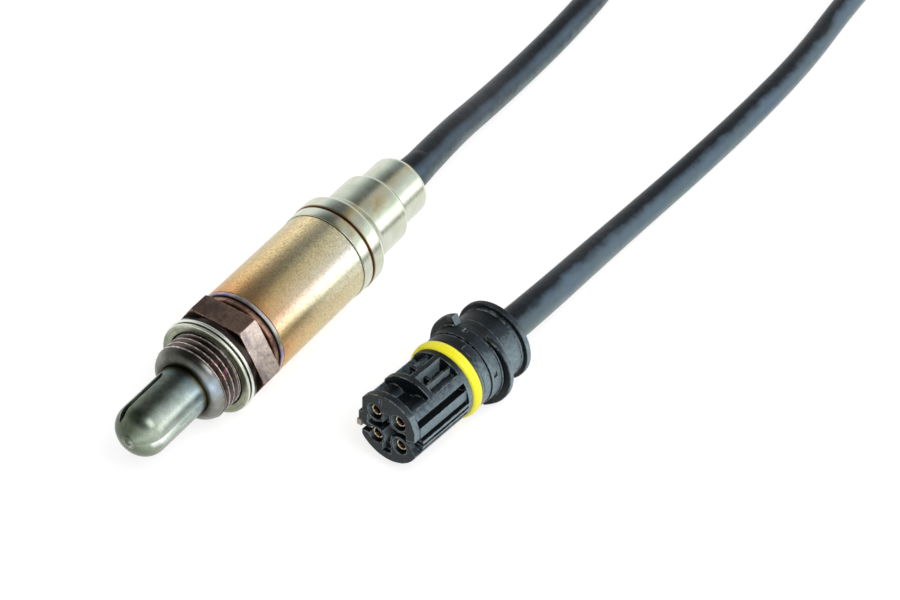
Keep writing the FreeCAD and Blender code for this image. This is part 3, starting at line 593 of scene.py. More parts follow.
# Painted shade on the mouth's face next to the tube.
outside = span(tree, wrap["Reach"], 6.3, 7.4)
in_mouth = times(tree, span(tree, wrap["Station"], 2.6, 3.0), reckon(tree, "SUBTRACT", 1.0, outside))
along = mix(tree, in_mouth, along, (0.085, 0.08, 0.065, 1))
lit = ramp(tree, span(tree, wrap["Turn"], -0.6, 2.8), (0.0, 0.62, 0.62, 0.58), (0.2, 0.85, 0.85, 0.8),
           (0.32, 1.3, 1.52, 1.85), (0.42, 0.95, 0.98, 1.0), (0.52, 0.42, 0.42, 0.38), (0.62, 0.24, 0.24, 0.21),
           (0.8, 0.26, 0.26, 0.23), (0.9, 0.62, 0.62, 0.56), (1.0, 0.5, 0.5, 0.45))
on_nose = span(tree, wrap["Station"], 2.2, 2.7)
along = mix(tree, on_nose, along, tint(tree, along, lit))
mottled = tint(tree, along, ramp(tree, cloud, (0.32, 0.62, 0.6, 0.58), (0.7, 1)))
on_thread = band(tree, wrap["Station"], (-2.8, -2.6), (2.45, 2.25))
crest = times(tree, span(tree, wrap["Reach"], 8.9, 8.99), on_thread)
crest = times(tree, crest, span(tree, noise(tree, place, 1.3), 0.36, 0.55, 0.25, 1.0))
worn = mix(tree, crest, mottled, (0.8, 0.74, 0.7, 1))
# Heat tint colours, kept to the lit side of the thread: painted glints.
flush = noise(tree, place, 0.62, 2.0, 0.5)
heat = ramp(tree, flush, (0.54, 0.5), (0.6, 0.75, 0.35, 0.14), (0.65, 0.42, 0.12, 0.3), (0.72, 0.2, 0.22, 0.45))
sunny = times(tree, band(tree, wrap["Turn"], (0.0, 0.3), (1.35, 1.05)), on_thread)
heat_glints = times(tree, span(tree, flush, 0.56, 0.61, 0.0, 0.6), sunny)
finish_turned(tree, shader, mix(tree, heat_glints, worn, heat), marks, 0.24, 0.36)
fit_piece(threaded_body, thread_steel, "housing_steel", "sensor_housing")

# Hexagon and rear of the housing: forged to 22 mm across flats with chamfered corners, darkened by
# heat, with bare metal where a spanner has chipped the corners. Its upward facets and front face
# are darkened further with painted shade. The flange behind it is tinted.

hex_flat = 11.0
hex_turn = -3.0
hex_front = -6.0
hex_rear = -11.6
hex_bore = 9.0
chamfer_radius = 12.3
hex_rows = [[] for _ in range(6)]
for step in range(120):
    degrees = hex_turn + 3 * step
    reach = hex_flat / math.cos(math.radians((degrees - hex_turn) % 60 - 30))
    fall = max(reach - chamfer_radius, 0) * 0.9
    inner = min(reach, chamfer_radius)
    section = ((hex_front, hex_bore), (hex_front, inner), (hex_front - fall, reach),
               (hex_rear + fall, reach), (hex_rear, inner), (hex_rear, hex_bore))
    for row, (x, radius) in zip(hex_rows, section):
        row.append(about_axis(x, radius, math.radians(degrees)))
hexagon = piece_of("hexagon", hex_rows, True, 20)


def round_edges(piece, width, degrees):
    """Rounds the edges that are sharper than an angle."""
    edges = piece.modifiers.new("rounded_edges", "BEVEL")
    edges.width = width * millimetre
    edges.segments = 2
    edges.limit_method = "ANGLE"
    edges.angle_limit = math.radians(degrees)


round_edges(hexagon, 0.14, 25)

hex_steel, tree, shader, place = new_material("hex_steel")
brown = ramp(tree, noise(tree, place, 0.22, 3.0, 0.55), (0.4, 0.92, 0.8, 0.73), (0.52, 0.8, 0.7, 0.65),
             (0.56, 0.64, 0.55, 0.55), (0.66, 0.52, 0.44, 0.45))
facing = put(tree, "SeparateXYZ", {0: put(tree, "TexCoord").outputs["Normal"]}).outputs
# Painted shade: the upward facets are darker.
brown = mix(tree, span(tree, facing["Z"], 0.7, 0.9), brown, tint(tree, brown, (0.34, 0.27, 0.22, 1)))
stain = ramp(tree, noise(tree, place, 1.6, 5.0, 0.7), (0.35, 0.62, 0.6, 0.6), (0.62, 1))
# Painted shade: the front face, tucked behind the gasket, is nearly black.
front_shaded = mix(tree, span(tree, facing["X"], 0.55, 0.8), tint(tree, brown, stain), (0.028, 0.022, 0.018, 1))
brush = put(tree, "VectorMath", {0: place, 1: (0.5, 4.0, 4.0)}, operation="MULTIPLY").outputs[0]
strokes = noise(tree, brush, 2.2, 4.0, 0.7)
worn_and_lit_edges = bright_edges(tree, place, 0.0006, 0.9)
finish(tree, shader, mix(tree, worn_and_lit_edges, front_shaded, (0.72, 0.4, 0.26, 1)),
       span(tree, strokes, 0.3, 0.7, 0.33, 0.46), relief(tree, strokes, 0.25, 0.0001), 1)
fit_piece(hexagon, hex_steel, "housing_steel")

housing_rear = turned("housing_rear", [
    (-11.6, 7.0), (-11.6, 9.5, 0.2), (-12.8, 9.5, 0.2), (-12.8, 10.4, 0.35), (-14.3, 10.4, 0.35),
    (-14.3, 10.25), (-19.5, 10.25), (-19.5, 7.0)])
copper_oxide, tree, shader, place, wrap, marks = turned_metal("copper_oxide", 5.0, 0.25)
# Copper tones along the neck and flange, with painted shade dark in the neck behind the hexagon and on the flange's
# front face, and a painted orange glint on the neck.
copper_bands_and_shade = ramp(tree, span(tree, wrap["Station"], -14.5, -11.5), (0.0, 0.09, 0.07, 0.06), (0.2, 0.22, 0.13, 0.1),
             (0.42, 0.5, 0.29, 0.19), (0.56, 0.12, 0.08, 0.07), (0.72, 0.34, 0.18, 0.11), (0.9, 0.62, 0.34, 0.2),
             (1.0, 0.06, 0.045, 0.04))
cloud = ramp(tree, noise(tree, place, 0.7, 5.0, 0.65), (0.36, 0.38, 0.34, 0.33), (0.62, 1))
finish_turned(tree, shader, tint(tree, copper_bands_and_shade, cloud), marks, 0.28, 0.45)
fit_piece(housing_rear, copper_oxide, "housing_steel")

# Sealing gasket: a ring of folded steel sheet in front of the collar, open outwards. It crushes
# against the boss when the sensor is screwed home.

gasket = turned("folded_gasket", [
    (-2.5, 9.2, 0.25), (-2.5, 11.15, 0.3), (-3.1, 11.3, 0.25), (-3.2, 10.2), (-3.5, 10.2), (-3.5, 11.5, 0.2),
    (-4.2, 11.6, 0.3), (-4.2, 9.2)])
gasket_steel, tree, shader, place, wrap, marks = turned_metal("gasket_steel", 4.0, 0.12)
grey = ramp(tree, noise(tree, place, 0.55, 5.0, 0.65), (0.32, 0.38, 0.41, 0.31), (0.52, 0.5, 0.54, 0.43),
            (0.7, 0.6, 0.63, 0.54))
# Painted light and shade across the face: dark at the inner gap by the thread, a darker line midway, brighter towards
# the outer edge.
ring_light_and_shade = ramp(tree, span(tree, wrap["Reach"], 9.1, 11.3), (0.0, 0.12, 0.11, 0.1), (0.1, 0.3, 0.3, 0.26),
             (0.16, 1), (0.5, 1.15, 1.15, 1.1), (0.56, 0.72, 0.72, 0.68), (0.62, 1.1, 1.1, 1.05), (1.0, 1.3))
lit = ramp(tree, span(tree, wrap["Turn"], -1.0, 3.1), (0.0, 0.5, 0.5, 0.46), (0.28, 0.62, 0.62, 0.58),
           (0.4, 1), (0.68, 1), (0.8, 0.6, 0.6, 0.56), (1.0, 0.42, 0.42, 0.4))
grey = tint(tree, tint(tree, grey, ring_light_and_shade), lit)
# Painted highlight: a pale line along the outer rim.
rim_highlight = times(tree, span(tree, wrap["Reach"], 11.0, 11.2), span(tree, wrap["Station"], -2.3, -2.9, 0.3, 1.0))
finish_turned(tree, shader, mix(tree, rim_highlight, grey, (0.86, 0.88, 0.82, 1)), marks, 0.28, 0.4)
fit_piece(gasket, gasket_steel, "gasket_steel", "sealing_gasket")

# Crimp ring: a narrow band of blued steel where the protective sleeve meets the housing. Its laser
# weld leaves straw and violet tints.

crimp_ring = turned("crimp_band", [
    (-14.4, 10.3), (-14.4, 10.8, 0.25), (-15.4, 10.8, 0.25), (-15.4, 10.3)])
blued_steel, tree, shader, place, wrap, marks = turned_metal("blued_steel", 6.0, 0.25)
blue = ramp(tree, noise(tree, place, 0.3, 3.0), (0.36, 0.48, 0.5, 0.5), (0.5, 0.62, 0.63, 0.6),
            (0.6, 0.52, 0.34, 0.56), (0.7, 0.4, 0.44, 0.66))
edges = ramp(tree, span(tree, wrap["Station"], -15.4, -14.4), (0.0, 0.22, 0.2, 0.2), (0.16, 1), (0.45, 0.9),
             (0.52, 0.35, 0.33, 0.32), (0.62, 1), (1.0, 0.3, 0.26, 0.24))
finish_turned(tree, shader, tint(tree, blue, edges), marks, 0.28, 0.45)
fit_piece(crimp_ring, blued_steel, "crimp_steel", "crimp_ring")

# Protective sleeve: drawn stainless tube over the housing's spigot. Heat from the weld has turned
# it orange at the front and gold behind, under a film of dark oxide specks.

sleeve = turned("gold_sleeve", [
    (-15.4, 10.3), (-15.4, 10.9, 0.12), (-44.6, 10.9, 0.15), (-44.6, 10.5), (-49.2, 10.5), (-49.2, 9.9),
    (-44.0, 9.9), (-44.0, 10.3)])
gold_steel, tree, shader, place = new_material("gold_steel")
wrap = use_group(tree, around_group, {"Place": place})
drift = reckon(tree, "MULTIPLY_ADD", noise(tree, place, 0.13, 3.0), 10.0, wrap["Station"])
heat = ramp(tree, span(tree, drift, -9.0, -39.0), (0.0, 0.7, 0.36, 0.15), (0.1, 0.8, 0.48, 0.21),
            (0.28, 0.8, 0.58, 0.3), (0.55, 0.78, 0.63, 0.36), (1.0, 0.77, 0.68, 0.44))
lit = ramp(tree, span(tree, wrap["Turn"], -0.35, 2.45), (0.0, 0.72, 0.74, 0.66), (0.18, 0.78, 0.8, 0.84),
           (0.28, 1.2, 1.4, 1.72), (0.36, 0.93, 1.06, 1.62), (0.41, 0.62, 0.69, 0.92), (0.54, 0.84, 0.88, 0.86),
           (0.62, 0.8, 0.88, 0.98), (0.76, 1.26, 1.18, 1.08), (0.86, 0.79, 0.79, 0.75), (1.0, 0.7, 0.7, 0.68))
# The lit ramp is painted light and shade round the sleeve, multiplied into the heat tint.
heat = tint(tree, tint(tree, heat, lit), (1.18, 1.18, 1.16, 1))
# Painted shade: the upper side is darkened, more towards the front.
top = band(tree, wrap["Turn"], (0.75, 1.25), (2.1, 1.7))
top_shade = times(tree, top, span(tree, wrap["Station"], -34.0, -16.0, 0.02, 0.24))
top_shaded = mix(tree, top_shade, heat, tint(tree, heat, (0.6, 0.52, 0.46, 1)))
specks = speckle(tree, place, 2.4, 0.15)
share = times(tree, specks, span(tree, top, 0.0, 1.0, 0.58, 0.82))
rust = speckle(tree, place, 0.9, 0.14)
toned = mix(tree, times(tree, rust, 0.3), mix(tree, share, top_shaded, (0.16, 0.12, 0.07, 1)),
            (0.42, 0.22, 0.08, 1))
hair = reckon(tree, "COMPARE", span(tree, wrap["Turn"], 1.394, 1.406), 0.5, 0.45)
hair = times(tree, hair, span(tree, noise(tree, place, 0.8, 3.0), 0.46, 0.54, 0.0, 0.35))
finish(tree, shader, mix(tree, hair, toned, (0.9, 0.86, 0.76, 1)), span(tree, specks, 0.0, 1.0, 0.3, 0.48),
       relief(tree, noise(tree, place, 6.0, 4.0, 0.7), 0.1, 0.0001), 1)
fit_piece(sleeve, gold_steel, "sleeve_steel", "protective_sleeve")

# Rear cap: drawn stainless cap in three diameters, pressed over the sleeve's tail with a rolled
# groove, and crimped on the rubber grommet at its rolled end.

cap_wall = 0.6
cap_lean = 0.25
cap_outline = [(-44.7, 10.55), (-44.7, 11.15, 0.2), (-47.6, 11.15, 0.15), (-47.65, 10.9), (-48.15, 10.9),
               (-48.2, 11.3, 0.12), (-51.7, 11.3, 1.0), (-54.7, 8.85, 1.4), (-64.4, 8.85, 0.8), (-65.8, 7.3, 0.8),
               (-75.3, 7.3, 1.5), (-75.3, 4.9, 0.2), (-74.7, 4.9), (-74.7, 6.7, 1.4)]
for x, radius in ((-66.1, 7.3), (-64.3, 8.85), (-55.2, 8.85), (-52.0, 11.15)):
    cap_outline.append((x + cap_lean, radius - cap_wall))
cap = turned("stepped_cap", cap_outline)
nickel_steel, tree, shader, place, wrap, marks = turned_metal("nickel_steel", 5.0, 0.07)
silver = ramp(tree, noise(tree, place, 0.22), (0.32, 0.62, 0.65, 0.53), (0.5, 0.7, 0.73, 0.61),
              (0.7, 0.78, 0.8, 0.71))
streaks = put(tree, "VectorMath", {0: wrap["Wrapped"], 1: (0.1, 1.4, 1.4)}, operation="MULTIPLY").outputs[0]
# Painted reflection: warm streaky patches on the upper side.
warm_reflection = ramp(tree, noise(tree, streaks, 1.6, 2.0), (0.5, 1), (0.6, 0.98, 0.88, 0.74), (0.68, 0.88, 0.72, 0.54))
upper = band(tree, wrap["Turn"], (0.7, 0.95), (1.65, 1.3))
tinted = mix(tree, upper, silver, tint(tree, silver, warm_reflection))
lit = ramp(tree, span(tree, wrap["Turn"], -0.35, 2.45), (0.0, 0.86, 0.86, 0.84), (0.2, 0.94, 0.95, 0.92),
           (0.3, 1.0, 1.0, 0.98), (0.38, 0.8, 0.86, 0.84), (0.46, 0.68, 0.72, 0.72), (0.56, 0.8, 0.76, 0.66),
           (0.64, 0.64, 0.7, 0.72), (0.72, 0.72, 0.8, 0.8), (0.8, 0.92, 0.93, 0.92), (1.0, 0.86, 0.86, 0.82))
# Painted highlights: bright lines along the folds and the rolled end.
fold_highlights = ramp(tree, span(tree, wrap["Station"], -76.0, -44.0), (0.0, 1.3), (0.045, 1.3), (0.07, 1), (0.335, 0.92),
             (0.356, 1.4), (0.38, 1), (0.735, 0.92), (0.753, 1.3), (0.775, 1), (1.0, 1))
groove = ramp(tree, span(tree, wrap["Station"], -48.6, -44.6), (0.0, 1), (0.09, 0.55, 0.35, 0.22),
              (0.14, 0.3, 0.16, 0.12), (0.22, 0.45, 0.25, 0.18), (0.28, 1), (0.96, 1), (1.0, 0.2, 0.16, 0.12))
tinted = tint(tree, tint(tree, tint(tree, tinted, lit), fold_highlights), groove)
finish_turned(tree, shader, tinted, marks, 0.2, 0.3)
fit_piece(cap, nickel_steel, "cap_steel", "rear_cap")

# Grommet: a moulded plug of black rubber that the cap's rolled tail grips. Its flared neck guides
# the cable out and keeps it from kinking there.

grommet = turned("rubber_grommet", [
    (-60.8, 0.0), (-60.8, 6.65, 0.4), (-74.8, 6.65, 1.2), (-74.7, 4.85), (-75.4, 4.85, 0.2),
    (-77.6, 4.15, 4.0), (-81.4, 3.9), (-83.4, 3.74), (-84.6, 3.3), (-84.6, 0.0)])
grommet_rubber = black_rubber("grommet_rubber", 0.15)
fit_piece(grommet, grommet_rubber, "grommet_rubber", "cable_grommet")

# Plug carrier: the black moulded skeleton that holds the four sockets. Ribs and open pockets keep
# its walls even, and a key slab on its side lets it in only one way round.

plug_place = Matrix.Translation((-0.02755, 0.04225, -0.0019)) @ Matrix.Rotation(
    math.radians(-5.05), 4, "Z") @ Matrix.Rotation(math.radians(-2.2), 4, "Y")
carrier_radius = 8.25
carrier_face = 18.0
core_radius = 4.6
barrel_radius = 2.35
seat_end = 1.0
seat_bore = 6.0
side_flat = -6.54
key_flat = 7.45
rib_corner = 0.02
sockets = [(2.9, 3.28), (-3.28, 2.9), (-2.9, -3.28), (3.28, -2.9)]
long_ribs = ((36.5, 51), (4.5, 24), (-3, 1.5), (-14, -9), (-45, -20), (148, 212), (262, 278))
middle_rib = ((44, 156), (206, 315))
top_rib = ((88, 97),)
stations = ((1.4, None, top_rib), (9.4, top_rib, middle_rib), (10.9, middle_rib, ()), (16.4, (), None))
face_side = [(7.537, -3.354), (4.7, -0.4), (7.25, 0.5), (7.25, 2.8), (5.75, 6.1)]


def section_reach(degrees, ribs):
    """How far the skeleton reaches from its axis in one direction: a rib, a barrel or the core."""
    for first, last in ribs:
        if (degrees - first) % 360 <= last - first:
            return carrier_radius
    angle = math.radians(degrees)
    reach = core_radius
    for y, z in sockets:
        along = y * math.cos(angle) + z * math.sin(angle)
        aside = y * math.sin(angle) - z * math.cos(angle)
        if along > 0 and abs(aside) < barrel_radius:
            reach = max(reach, along + math.sqrt(barrel_radius ** 2 - aside ** 2))
    return reach


def bearing(y, z):
    """Direction of a point of a section in degrees."""
    return math.degrees(math.atan2(z, y))


def face_reach(degrees):
    """The front disc: round, with a notch and the key slab's square end on its side."""
    degrees = (degrees + 180) % 360 - 180
    for first, last in zip(face_side, face_side[1:]):
        if bearing(*first) <= degrees <= bearing(*last):
            angle = math.radians(degrees)
            along = (last[0] - first[0], last[1] - first[1])
            return (first[0] * along[1] - first[1] * along[0]) / (
                math.cos(angle) * along[1] - math.sin(angle) * along[0])
    return carrier_radius


def carrier_rows():
    """Rings of the skeleton from its seat to its face, the same number of points in each."""
    edges = {edge % 360 for ribs in (long_ribs, top_rib, middle_rib) for pair in ribs for edge in pair}
    edges |= {bearing(y, z) % 360 for y, z in face_side}
    samples = []
    for degrees in range(0, 360, 3):
        if all(abs(degrees - edge) > 1.0 for edge in edges):
            samples.append((degrees, 0))
    for edge in edges:
        samples += [(edge, -rib_corner), (edge, rib_corner)]
    samples.sort()
    profile = [(0.0, None)]
    for x, behind, ahead in stations:
        profile += [(x, behind), (x, ahead)]
    profile.append((carrier_face, None))
    rows = []
    for x, extra in profile:
        row = []
        for degrees, nudge in samples:
            if extra is not None:
                reach = section_reach(degrees + nudge, long_ribs + extra)
            elif x > stations[0][0]:
                reach = face_reach(degrees + nudge)
            else:
                reach = carrier_radius
            y = reach * math.cos(math.radians(degrees))
            z = reach * math.sin(math.radians(degrees))
            if x > seat_end:
                y = max(y, side_flat)
                if extra is not None and 0.4 < z < 3.4 and y > 4:
                    y = min(y, key_flat)
            row.append(Vector((x, y, z)))
        rows.append(row)
    return rows


def cap_ends(piece):
    """Closes the holes left at the ends of a row of rings."""
    form = bmesh.new()
    form.from_mesh(piece.data)
    bmesh.ops.holes_fill(form, edges=[edge for edge in form.edges if edge.is_boundary], sides=0)
    bmesh.ops.recalc_face_normals(form, faces=form.faces)
    mark_edges(form, 30)
    form.to_mesh(piece.data)
    form.free()
    return piece


body_rings = carrier_rows()
seat_ring = [Vector((0.0, seat_bore * p.y / p.yz.length, seat_bore * p.z / p.yz.length)) for p in body_rings[0]]
middles = [[Vector((x, p.y * 0.02, p.z * 0.02)) for p in ring]
           for x, ring in ((0.0, seat_ring), (carrier_face, body_rings[-1]))]
skeleton = piece_of("carrier_skeleton", [middles[0], seat_ring, *body_rings, middles[1]], False, 30, plug_place)
cap_ends(skeleton)


def cutter(name, boxes=(), rods=()):
    """A tool of boxes (low and high corner) and rods (rear, front, y, z, radius) in the plug's frame."""
    form = bmesh.new()
    for low, high in boxes:
        centre = (Vector(low) + Vector(high)) / 2
        size = Vector(high) - Vector(low)
        matrix = Matrix.Translation(centre * millimetre) @ Matrix.Diagonal((*(size * millimetre), 1))
        bmesh.ops.create_cube(form, size=1, matrix=matrix)
    for rear, front, y, z, radius in rods:
        centre = Vector(((rear + front) / 2, y, z))
        matrix = Matrix.Translation(centre * millimetre) @ Matrix.Rotation(math.pi / 2, 4, "Y")
        bmesh.ops.create_cone(form, cap_ends=True, segments=40, radius1=radius * millimetre,
                              radius2=radius * millimetre, depth=(front - rear) * millimetre, matrix=matrix)
    mesh = bpy.data.meshes.new(name)
    form.to_mesh(mesh)
    form.free()
    tool = bpy.data.objects.new(name, mesh)
    tool.matrix_world = plug_place
    bpy.context.scene.collection.objects.link(tool)
    return tool


def settle(piece, bevel, tools):
    """Applies the cuts and joins, marks the crisp edges and rounds the moulded ones."""
    for tool, operation in tools:
        cut = piece.modifiers.new(tool.name, "BOOLEAN")
        cut.operation = operation
        cut.object = tool
        cut.solver = "EXACT"
        cut.use_self = True
    bpy.context.view_layer.update()
    mesh = bpy.data.meshes.new_from_object(piece.evaluated_get(bpy.context.evaluated_depsgraph_get()))
    piece.modifiers.clear()
    piece.data = mesh
    for tool, operation in tools:
        bpy.data.objects.remove(tool)
    form = bmesh.new()
    form.from_mesh(piece.data)
    bmesh.ops.remove_doubles(form, verts=form.verts, dist=2e-6)
    bmesh.ops.dissolve_limit(form, angle_limit=math.radians(1), verts=form.verts, edges=form.edges)
    mark_edges(form, 30)
    form.to_mesh(piece.data)
    form.free()
    if bevel:
        round_edges(piece, bevel, 35)


cross = cutter("cross_recess", [((15.2, -4.5, -1.15), (19, 4.5, 1.15)), ((15.2, -1.15, -4.4), (19, 1.15, 4.0)),
                                ((16.9, -5.1, -1.1), (19, 5.0, 1.1)), ((16.9, -1.1, -6.4), (19, 1.1, 3.9))])
settle(cross, 0, [(cutter("socket_walls", rods=[(14.0, 20.0, y, z, 2.4) for y, z in sockets]), "DIFFERENCE")])
holes = cutter("socket_holes", [((15.9, -2.05, 5.5), (19, -1.55, 7.0)), ((3.0, -9, -3.8), (19, -4.6, -2.2))],
               [(13.0, 19.0, y, z, 1.9) for y, z in sockets] + [(8.0, 19.0, y, z, 1.36) for y, z in sockets])
key = cutter("key_rib", [((10.8, -7.45, -1.5), (18.0, -3.2, 0.9)), ((10.8, -6.6, 0.0), (18.0, -3.2, 1.6))])
webs = cutter("pocket_webs", [((1.0, 2.5, 2.0), (9.8, 3.0, 7.1)), ((5.9, -0.2, 2.0), (6.6, 2.8, 6.5)),
                              ((5.0, -4.2, 2.0), (5.7, -0.2, 6.3)), ((1.0, -3.2, 2.0), (5.4, -2.7, 6.9))])
settle(skeleton, 0.1, [(key, "UNION"), (webs, "UNION"), (cross, "DIFFERENCE"), (holes, "DIFFERENCE")])

plug_plastic, tree, shader, place = new_material("plug_plastic")
grain = use_group(tree, grain_group, {"Place": place, "Size": 4.0, "Depth": 0.6})
# Painted light: surfaces facing sideways towards +Y are lifted to a bluish grey, in soft patches.
side_light = use_group(tree, side_light_group, {"Place": place, "Facing": put(tree, "TexCoord").outputs["Normal"],
                                     "Size": 1.1, "Patchy": 0.45, "Low": 0.3, "High": 1.05})
shade = ramp(tree, side_light["Mask"], (0.0, 0.004, 0.005, 0.006), (0.45, 0.024, 0.034, 0.044), (1.0, 0.25, 0.33, 0.365))
spots = speckle(tree, place, 3.0, 0.02)
shade = mix(tree, times(tree, spots, 0.35), shade, (0.16, 0.2, 0.22, 1))
# Painted highlights: pale lines along the edges.
worn_and_lit_edges = bright_edges(tree, place, 0.0004, 0.8)
shade = mix(tree, times(tree, worn_and_lit_edges, 0.8), shade, (0.3, 0.36, 0.38, 1))
finish(tree, shader, shade, span(tree, grain["Mask"], 0.3, 0.7, 0.3, 0.48), grain["Normal"])
connect(tree, shader, {"Specular IOR Level": 0.24, "Specular Tint": (0.74, 0.9, 1.0, 1)})
fit_piece(skeleton, plug_plastic, "plug_plastic", "contact_carrier")

carrier_seat = turned("carrier_seat", [
    (0.0, 4.8), (0.0, 7.3), (-2.6, 7.3), (-2.6, 6.9), (-6.0, 6.9), (-6.0, 4.8)], 120, plug_place)
fit_piece(carrier_seat, plug_plastic, "plug_plastic")
plug_pieces = [skeleton, carrier_seat]

# Contact lock: a small slide moulded in tan plastic, pushed in beside the key once the contacts are
# home. Its raised lip shows that it is shut.


def grained(name, size, depth, low, high, roughness, metallic=0, vary=0.0):
    """A finish of two mottled colours with a fine grain."""
    material, tree, shader, place = new_material(name)
    grain = use_group(tree, grain_group, {"Place": place, "Size": size, "Depth": depth})
    if vary:
        roughness = span(tree, grain["Mask"], 0.0, 1.0, roughness - vary, roughness + vary)
    finish(tree, shader, ramp(tree, grain["Mask"], (0.0, *low), (1.0, *high)), roughness, grain["Normal"], metallic)
    return material


lock = cutter("lock_slide", [((3.2, -7.35, -3.7), (16.2, -4.6, -2.3))])
settle(lock, 0.12, [(cutter("lock_lip", [((12.0, -8.35, -3.72), (17.5, -7.2, -2.28))]), "UNION")])
tan_plastic = grained("tan_plastic", 4.0, 0.3, (0.34, 0.26, 0.19), (0.56, 0.45, 0.34), 0.5)
plug_pieces.append(fit_piece(lock, tan_plastic, "lock_plastic", "contact_lock"))

# Sockets: turned brass tubes with four slots at the mouth, crimped on the cores and set back in the
# carrier's four holes.

brass, tree, shader, place = new_material("brass")
wrap = use_group(tree, around_group, {"Place": place})
bright = ramp(tree, noise(tree, place, 1.2, 3.0), (0.35, 0.3, 0.23, 0.13), (0.65, 0.72, 0.63, 0.46))
# Painted shade: the mouth's four slots are dark stripes along the socket.
slot_shade = span(tree, reckon(tree, "SINE", times(tree, wrap["Turn"], 4.0)), 0.8, 0.95)
connect(tree, shader, {
    "Base Color": mix(tree, slot_shade, bright, (0.05, 0.035, 0.02, 1)),
    "Roughness": span(tree, noise(tree, place, 2.0, 3.0), 0.3, 0.7, 0.18, 0.3), "Metallic": 1})
for number, (y, z) in enumerate(sockets, 1):
    contact = turned("brass_socket_%d" % number, [
        (17.2, 0.95, 0.1), (17.3, 1.2, 0.1), (17.0, 1.35, 0.1), (8.0, 1.35), (8.0, 1.2), (-6.4, 1.2), (-6.4, 0.75),
        (-2.4, 0.75), (-2.4, 0.0), (8.1, 0.0), (8.1, 0.8), (16.6, 0.8)],
        40, plug_place @ Matrix.Translation((0, y * millimetre, z * millimetre)))
    plug_pieces.append(fit_piece(contact, brass, "socket_brass", "socket_contact_%d" % number))

# Seal ring: a soft ring of yellow silicone with a rounded front edge. It is stretched over the
# carrier's seat, up to the shell.

seal = turned("yellow_seal", [
    (0.0, 7.35), (0.0, 8.75, 0.6), (-1.25, 9.05, 2.0), (-2.5, 8.9, 0.5), (-2.5, 7.35)], 180, plug_place)
yellow_silicone = grained("yellow_silicone", 1.5, 0.1, (0.95, 0.84, 0.0), (1.0, 0.95, 0.04), 0.38)
plug_pieces.append(fit_piece(seal, yellow_silicone, "seal_silicone", "plug_seal_ring"))

# Plug shell: a black moulded sleeve behind the seal. Two ramps on its collar pull the plug home
# when it is turned, and the flange at its rear is the grip's stop.

shell = turned("plug_sleeve", [
    (-2.6, 7.0), (-2.6, 8.65, 0.3), (-5.35, 8.65), (-5.4, 8.35), (-5.7, 8.35), (-5.75, 8.9, 0.15), (-8.75, 8.9, 0.1),
    (-8.8, 8.6), (-9.3, 8.55), (-10.4, 8.35, 0.4), (-12.2, 8.35), (-12.3, 8.25), (-16.3, 8.25), (-16.35, 8.4),
    (-16.6, 8.4), (-16.65, 8.2), (-17.1, 8.2, 0.2), (-17.1, 9.3, 0.3), (-18.6, 9.3, 0.4), (-18.6, 7.0)],
    180, plug_place)
dents = cutter("latch_dents", [((-9.2, -0.9, 8.55), (-7.6, 0.0, 9.6)), ((-7.6, 8.2, 1.9), (-6.4, 9.6, 3.1))])
settle(shell, 0, [(dents, "DIFFERENCE")])
plug_pieces.append(fit_piece(shell, plug_plastic, "plug_plastic", "plug_shell"))
ramp_sweep = 132
ramp_foot = 8.7
ramp_top = 10.75
ramp_rear = -10.6


def section_at(degrees, corners):
    """A section (x, radius) stood up at one angle round the plug's axis."""
    angle = math.radians(degrees)
    way = Vector((0, math.cos(angle), math.sin(angle)))
    return [Vector((x, 0, 0)) + way * radius for x, radius in corners]


def bayonet_section(share):
    """One bayonet ramp's section at a share of its run: it rises, runs level and ends in a hook."""
    rise = min(share / 0.42, 1.0)
    top = ramp_foot + (ramp_top - ramp_foot) * rise * (2 - rise)
    front = -9.3 + 0.5 * max(share - 0.9, 0) / 0.1
    bead = 8.55 + 0.65 * min(share / 0.15, 1.0)
    return [(front + 0.6, 7.8), (front + 0.6, bead), (front + 0.3, bead), (front + 0.25, 8.0), (front, 8.0),
            (front, top - 0.15), (front - 0.15, top), (ramp_rear + 0.15, top), (ramp_rear, top - 0.15),
            (ramp_rear, 7.8)]


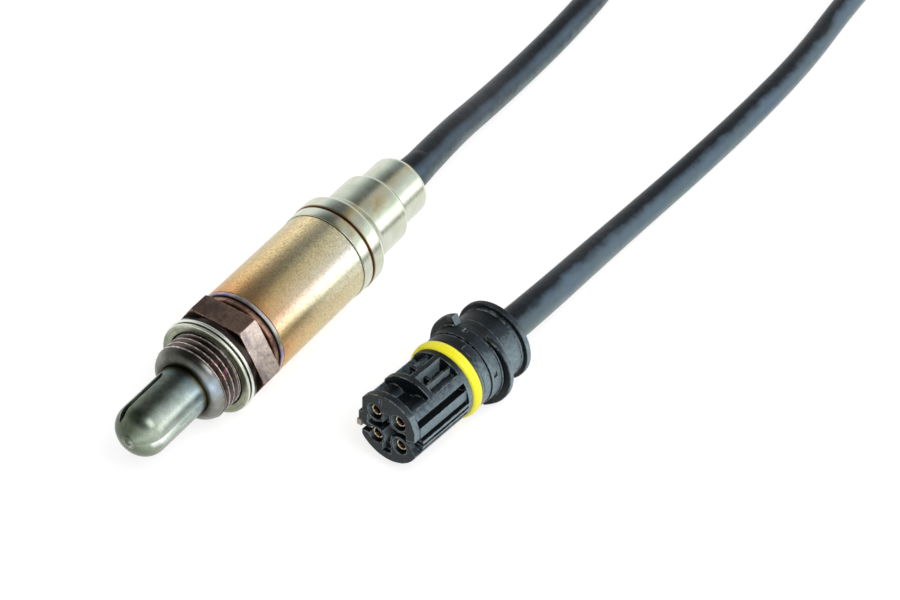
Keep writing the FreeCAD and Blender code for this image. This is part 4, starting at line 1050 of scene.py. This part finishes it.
for number, start in enumerate((67, 247), 1):
    hook_rows = [section_at(start - ramp_sweep * step / 44, bayonet_section(step / 44)) for step in range(45)]
    hook = cap_ends(piece_of("bayonet_ramp_%d" % number, hook_rows, False, 30, plug_place))
    plug_pieces.append(fit_piece(hook, plug_plastic, "plug_plastic"))
plate_section = [(-3.3, 8.4), (-3.3, 8.78), (-3.4, 8.83), (-5.2, 8.83), (-5.3, 8.78), (-5.3, 8.4)]
plate_rows = [section_at(76 - 75 * step / 24, plate_section) for step in range(25)]
plate = cap_ends(piece_of("band_plate", plate_rows, False, 30, plug_place))
plug_pieces.append(fit_piece(plate, plug_plastic, "plug_plastic"))

# Bush: a moulded plug of black rubber round the cable, pressed into the shell's rear to keep water
# out of it.

bush = turned("rear_bush", [(-15.6, 0.0), (-15.6, 6.95), (-18.6, 6.95, 0.3), (-18.6, 0.0)], 120, plug_place)
plug_pieces.append(fit_piece(bush, grommet_rubber, "grommet_rubber", "plug_bush"))

# Inner pieces: the ceramic thimble with its heater, contacts, spring and insulators, the terminals
# and the cores. They are closed in by the pieces above.

fired_ceramic = grained("fired_ceramic", 3.0, 0.2, (0.74, 0.72, 0.66), (0.84, 0.83, 0.79), 0.55, 0, 0.08)
contact_metal = grained("contact_metal", 3.0, 0.2, (0.5, 0.48, 0.44), (0.66, 0.64, 0.6), 0.3, 1, 0.08)
inner_steel = grained("inner_steel", 3.0, 0.2, (0.4, 0.4, 0.4), (0.55, 0.55, 0.55), 0.35, 1, 0.08)
core_insulation = grained("core_insulation", 2.0, 0.2, (0.6, 0.6, 0.58), (0.72, 0.72, 0.7), 0.45, 0, 0.08)
four = range(1, 5)
finishes = (
    (fired_ceramic, ["sensor_ceramic", "heater_rod", "ceramic_support_tube", "terminal_holder"]),
    (contact_metal, ["inner_contact", "ground_contact", "heater_contact_1", "heater_contact_2"]
     + ["terminal_%d" % number for number in four]),
    (inner_steel, ["seat_seal_ring", "disc_spring", "retaining_sleeve"]),
    (grommet_rubber, ["core_seal"]),
    (core_insulation, ["%s_%d" % (core, number) for core in ("sensor_lead", "plug_lead") for number in four]),
)
for material, names in finishes:
    for name in names:
        nodes[name].data.materials.clear()
        nodes[name].data.materials.append(material)

plug_pieces += [nodes["plug_lead_%d" % number] for number in four] + [nodes["core_seal"]]
